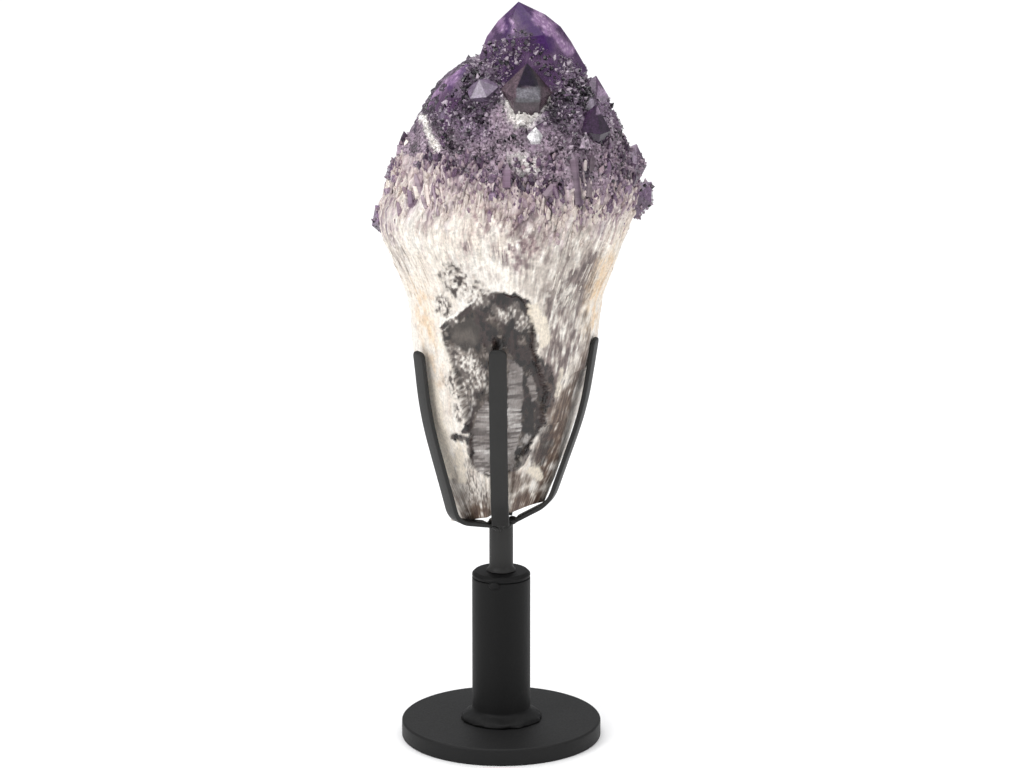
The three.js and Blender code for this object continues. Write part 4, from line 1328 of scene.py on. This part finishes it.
# The crystals that can be told apart are clear amethyst too, dulled by a film of dust. Each flat face
# is shiny in places and soft in others.
crust, crust_output = new_material("druzy_amethyst_crystals")
crust_tint = add_node(crust, "ShaderNodeAttribute", {"attribute_name": "tint"}).outputs["Color"]
crust_place = add_node(crust, "ShaderNodeTexCoord").outputs["Object"]
dust = add_node(crust, "ShaderNodeTexNoise", Vector=crust_place, Scale=1 / (0.8 * MM), Detail=3.0)
crust_rough = add_node(crust, "ShaderNodeMapRange", Value=dust.outputs["Fac"], From_Min=0.35, From_Max=0.7,
                       To_Min=0.1, To_Max=0.34)
crust_bump = add_node(crust, "ShaderNodeBump", Height=dust.outputs["Fac"], Strength=0.4, Distance=0.2 * MM)
crust_shader = add_node(crust, "ShaderNodeBsdfPrincipled", Base_Color=crust_tint, IOR=1.544,
                        Roughness=crust_rough.outputs[0], Transmission_Weight=0.2,
                        Normal=crust_bump.outputs["Normal"])
show_surface(crust, crust_output, crust_shader)


def add_druzy(name, points, faces, tones, material):
    """A piece of druzy. The tones are one for each face, as painted light and shade: light falls on each
    small face in its own way.
    """
    piece = add_piece(name, points, faces, material, "amethyst_point", smooth=False)
    middles = np.array([points[face].mean(0) for face in faces])
    colour = druzy_colour(middles, tones)
    stored(piece, "tint", "FLOAT_COLOR", np.c_[colour, np.ones(len(colour))], "FACE")


crown_turn = np.tile(np.linspace(-np.pi, np.pi, CROWN_COLUMNS, endpoint=False), CROWN_ROWS)
crown_high = np.repeat(np.linspace(CROWN_FOOT, CROWN_TOP, CROWN_ROWS), CROWN_COLUMNS)
crown_lumps = layered(at_reach(crown_turn, crown_high, 50), 6, 59, 3)
crown_foot = fan_top(at_reach(crown_turn, crown_high, 50))
crown_sunk = 3.2 * ease(8, -6, crown_high + 12 * crown_lumps - crown_foot) - 0.6
crown_points = at_reach(crown_turn, crown_high, skin_reach(crown_turn, crown_high) - crown_sunk)
crown_faces = grid_faces(CROWN_ROWS, CROWN_COLUMNS)
add_druzy("druzy_bed", crown_points, crown_faces, np.full(len(crown_faces), 0.4), bed)

chance = np.random.default_rng(41)
block_turn, block_high, block_wide, block_lean = [], [], [], []
for row, (height, count, radius, lean) in enumerate(BLOCK_ROWS):
    places = np.arange(count) + 0.5 * (row % 2) + 0.5 * (chance.random(count) - 0.5)
    block_turn += list(places * 2 * np.pi / count)
    block_high += list(height + 8 * (chance.random(count) - 0.5))
    block_wide += list(radius * chance.uniform(0.7, 1.2, count))
    block_lean += list(lean + 16 * (chance.random(count) - 0.5))
blocks = np.array([block_turn, block_high, block_wide, block_lean])
hidden = (blocks[1] < 328) | (np.sin(blocks[0]) < -0.5)
block_turn, block_high, block_wide, block_lean = blocks[:, ~hidden]
facing = ease(0.5, 0.9, np.cos(block_turn))
block_reach = plain_reach(block_turn, block_high) - 4.4 - 2.6 * facing
block_roots = at_reach(block_turn, block_high, block_reach)
block_ways = leaning(block_lean, np.degrees(block_turn) + chance.uniform(-12, 12, len(block_turn)))
block_points, block_faces, block_size = crystals(
    block_roots, block_ways, block_wide, chance.uniform(1.4, 4, len(block_turn)),
    block_wide * chance.uniform(0.6, 1, len(block_turn)), 6, 42)
# The tones differ from face to face, as painted light and shade.
add_druzy("druzy_blocks", block_points, block_faces, chance.uniform(0.15, 0.65, len(block_faces)), bed)


def spread_over(points, faces, count, seed):
    """Random places spread evenly by area over some faces, and each one's outward direction."""
    luck = np.random.default_rng(seed)
    corners = np.array([(f[0], f[i], f[i + 1]) for f in faces for i in range(1, len(f) - 1)])
    a, b, c = (points[corners[:, i]] for i in range(3))
    normals = np.cross(b - a, c - a)
    areas = np.linalg.norm(normals, axis=1)
    chosen = luck.choice(len(corners), count, p=areas / areas.sum())
    u, v = luck.random((2, count, 1))
    flip = u + v > 1
    u, v = np.where(flip, 1 - u, u), np.where(flip, 1 - v, v)
    places = a[chosen] * (1 - u - v) + b[chosen] * u + c[chosen] * v
    return places, unit(normals[chosen])


def left_clean(places):
    """Where no druzy has grown over the crystals and columns of the front."""
    ragged = 0.8 * layered(places, 2, 62)
    inside = [depth_inside(places[:, [0, 2]], np.array(outline)) > ragged for outline in CLEAN]
    return np.any(inside, axis=0) & (places[:, 1] < 0)


def on_left_flank(places):
    """The long clean face of the second point, left of the druzy."""
    edge = -15 - 0.8 * (376 - places[:, 2]) + 2 * layered(places, 5, 58)
    return (places[:, 0] < edge) & (places[:, 2] > 334)


def on_main(places, ways):
    """Where druzy has grown over the two main points: low down, and not on their flanks."""
    level = places[:, 2] + 2 * layered(places, 4, 55)
    front = (ways[:, 1] < -0.3) & (level < np.interp(places[:, 0], *DRUZY_LINE.T))
    flank = np.where(places[:, 0] > 15, level < 352, level < 326)
    back = (ways[:, 1] > 0.3) & (level < 372)
    return (front | back | (flank & (np.abs(ways[:, 1]) <= 0.3))) & ~on_left_flank(places)


bed_places, bed_ways = spread_over(crown_points, crown_faces[1:-1], BED_TRIES, 51)
keep = bed_places[:, 2] + 12 * layered(bed_places, 7, 57) > fan_top(bed_places)
bed_places, bed_ways = bed_places[keep], bed_ways[keep]
block_places, block_ways = spread_over(block_points, block_faces, BLOCK_TRIES, 52)
keep = (block_ways[:, 2] > -0.5) & (block_places[:, 2] > fan_top(block_places))
block_places, block_ways = block_places[keep], block_ways[keep]
main_places, main_ways = spread_over(*main_made, MAIN_TRIES, 53)
keep = (main_ways[:, 2] > -0.5) & on_main(main_places, main_ways)
main_places, main_ways = main_places[keep], main_ways[keep]
side_places, side_ways = spread_over(*side_made, SIDE_TRIES, 54)
keep = (side_places[:, 1] > -14) & (side_places[:, 2] < 346 + 8 * layered(side_places, 5, 63))
side_places, side_ways = side_places[keep], side_ways[keep]
places = np.r_[bed_places, block_places, main_places, side_places]
ways = np.r_[bed_ways, block_ways, main_ways, side_ways]
bare = left_clean(places) | on_left_flank(places)
bare |= (places[:, 0] < -9) & (places[:, 2] > 376.5)  # the sharp top of the second point
places, ways = places[~bare], ways[~bare]
pick = chance.permutation(len(places))[:CRUST_COUNT + SMALL_COUNT]
places, ways = places[pick], ways[pick]
count = len(places)
big = np.arange(count) < SMALL_COUNT
wide = np.where(big, 0.8 + 0.9 * chance.random(count) ** 2, chance.uniform(*CRUST_RADII, count))
ways = unit(ways + 0.6 * unit(chance.normal(size=(count, 3))) + (0, 0, 0.2))
tones = chance.random(count) ** 1.25
for name, chosen, prisms in (("druzy_crust", ~big, 0), ("druzy_crystals", big, 0.45)):
    some = wide[chosen]
    points, faces, size = crystals(
        places[chosen] - ways[chosen] * some[:, None] * 0.3, ways[chosen], some, prisms * some,
        some * chance.uniform(1, 2, len(some)), some * 0.4, 56)
    shares = np.repeat(tones[chosen], len(faces) // len(some))
    # Each face's tone differs a little more by chance, as painted light and shade.
    add_druzy(name, points, faces, shares + chance.normal(0, 0.2, len(faces)), crust)

# Where the fan turns to druzy, short thick crystals stand among the ends of the long thin ones.
rim_places, rim_ways = spread_over(fan_points, grid_faces(FAN_ROWS, SKIN_COLUMNS)[1:-1], RIM_TRIES, 58)
level = rim_places[:, 2] + 10 * layered(rim_places, 8, 47) - fan_top(rim_places)
grown = (chance.random(len(rim_places)) < ease(-30, 2, level) ** 1.6) & ~left_clean(rim_places)
keep = np.flatnonzero(grown)[:RIM_COUNT]
rim_places, rim_ways, level = rim_places[keep], rim_ways[keep], level[keep]
count = len(rim_places)
wide = 0.4 + 1.2 * chance.random(count) ** 2.4
rim_ways = unit(0.4 * rim_ways + 0.4 * unit(chance.normal(size=(count, 3))) + (0, 0, 1))
points, faces, size = crystals(rim_places - rim_ways * wide[:, None], rim_ways, wide,
                               wide * chance.uniform(0.8, 3, count), wide * chance.uniform(1, 2, count),
                               wide * 0.6, 59)
rim = add_piece("rim_crystals", points, faces, crust, "amethyst_point", smooth=False)
purple = np.repeat(chance.random(count) + ease(-20, 8, level) - 0.6, len(faces) // count)
purple = purple + chance.normal(0, 0.12, len(faces))
colour = np.tile(linear("#e2d4cb")[:3], (len(faces), 1))
colour = painted_on(colour, "#b59ea6", ease(0, 0.3, purple))
colour = painted_on(colour, "#765d76", ease(0.4, 0.75, purple))
colour = painted_on(colour, "#3f2e42", ease(0.9, 1.2, purple))
stored(rim, "tint", "FLOAT_COLOR", np.c_[colour, np.ones(len(faces))], "FACE")


# Rim clusters
# Thicker crystals that stand out from the fan's rim in ones and twos, grown from it. They roughen
# its outline all round.
CLUSTER_COUNT = 90
CLUSTER_RADII = (1.4, 3.6)
luck = np.random.default_rng(61)
count = CLUSTER_COUNT
cluster_turn = luck.uniform(-np.pi, np.pi, count)
cluster_high = fan_top(at_reach(cluster_turn, np.full(count, 310.0), 50)) + luck.uniform(-24, 6, count)
cluster_wide = luck.uniform(*CLUSTER_RADII, count)
cluster_ways = leaning(luck.uniform(25, 65, count), np.degrees(cluster_turn) + luck.uniform(-30, 30, count))
cluster_reach = skin_reach(cluster_turn, cluster_high) - 1.2 * cluster_wide
cluster_roots = at_reach(cluster_turn, cluster_high, cluster_reach)
seen = ~left_clean(cluster_roots) & ((np.cos(cluster_turn) < 0.6) | (cluster_high > 312))
cluster_roots, cluster_ways, cluster_wide = cluster_roots[seen], cluster_ways[seen], cluster_wide[seen]
count = len(cluster_wide)
points, faces, size = crystals(
    cluster_roots, cluster_ways, cluster_wide, cluster_wide * luck.uniform(0.6, 1.6, count),
    cluster_wide * luck.uniform(0.8, 1.3, count), 3, 62)
clusters = add_piece("rim_clusters", points, faces, deep, "amethyst_point", smooth=False)
shade = np.repeat(luck.random(count), size)
colour = np.tile(linear("#7b637c")[:3], (len(points), 1))
colour = painted_on(colour, "#a892a3", ease(0.5, 1, shade))
stored(clusters, "tint", "FLOAT_COLOR", np.c_[colour, np.ones(len(points))])
# Painted light and shade: each flat face is made lighter or darker by chance, as if it caught the light at
# its own angle.
stored(clusters, "lit", "FLOAT", luck.uniform(0.7, 1.25, len(faces)), "FACE")


bpy.context.view_layer.update()
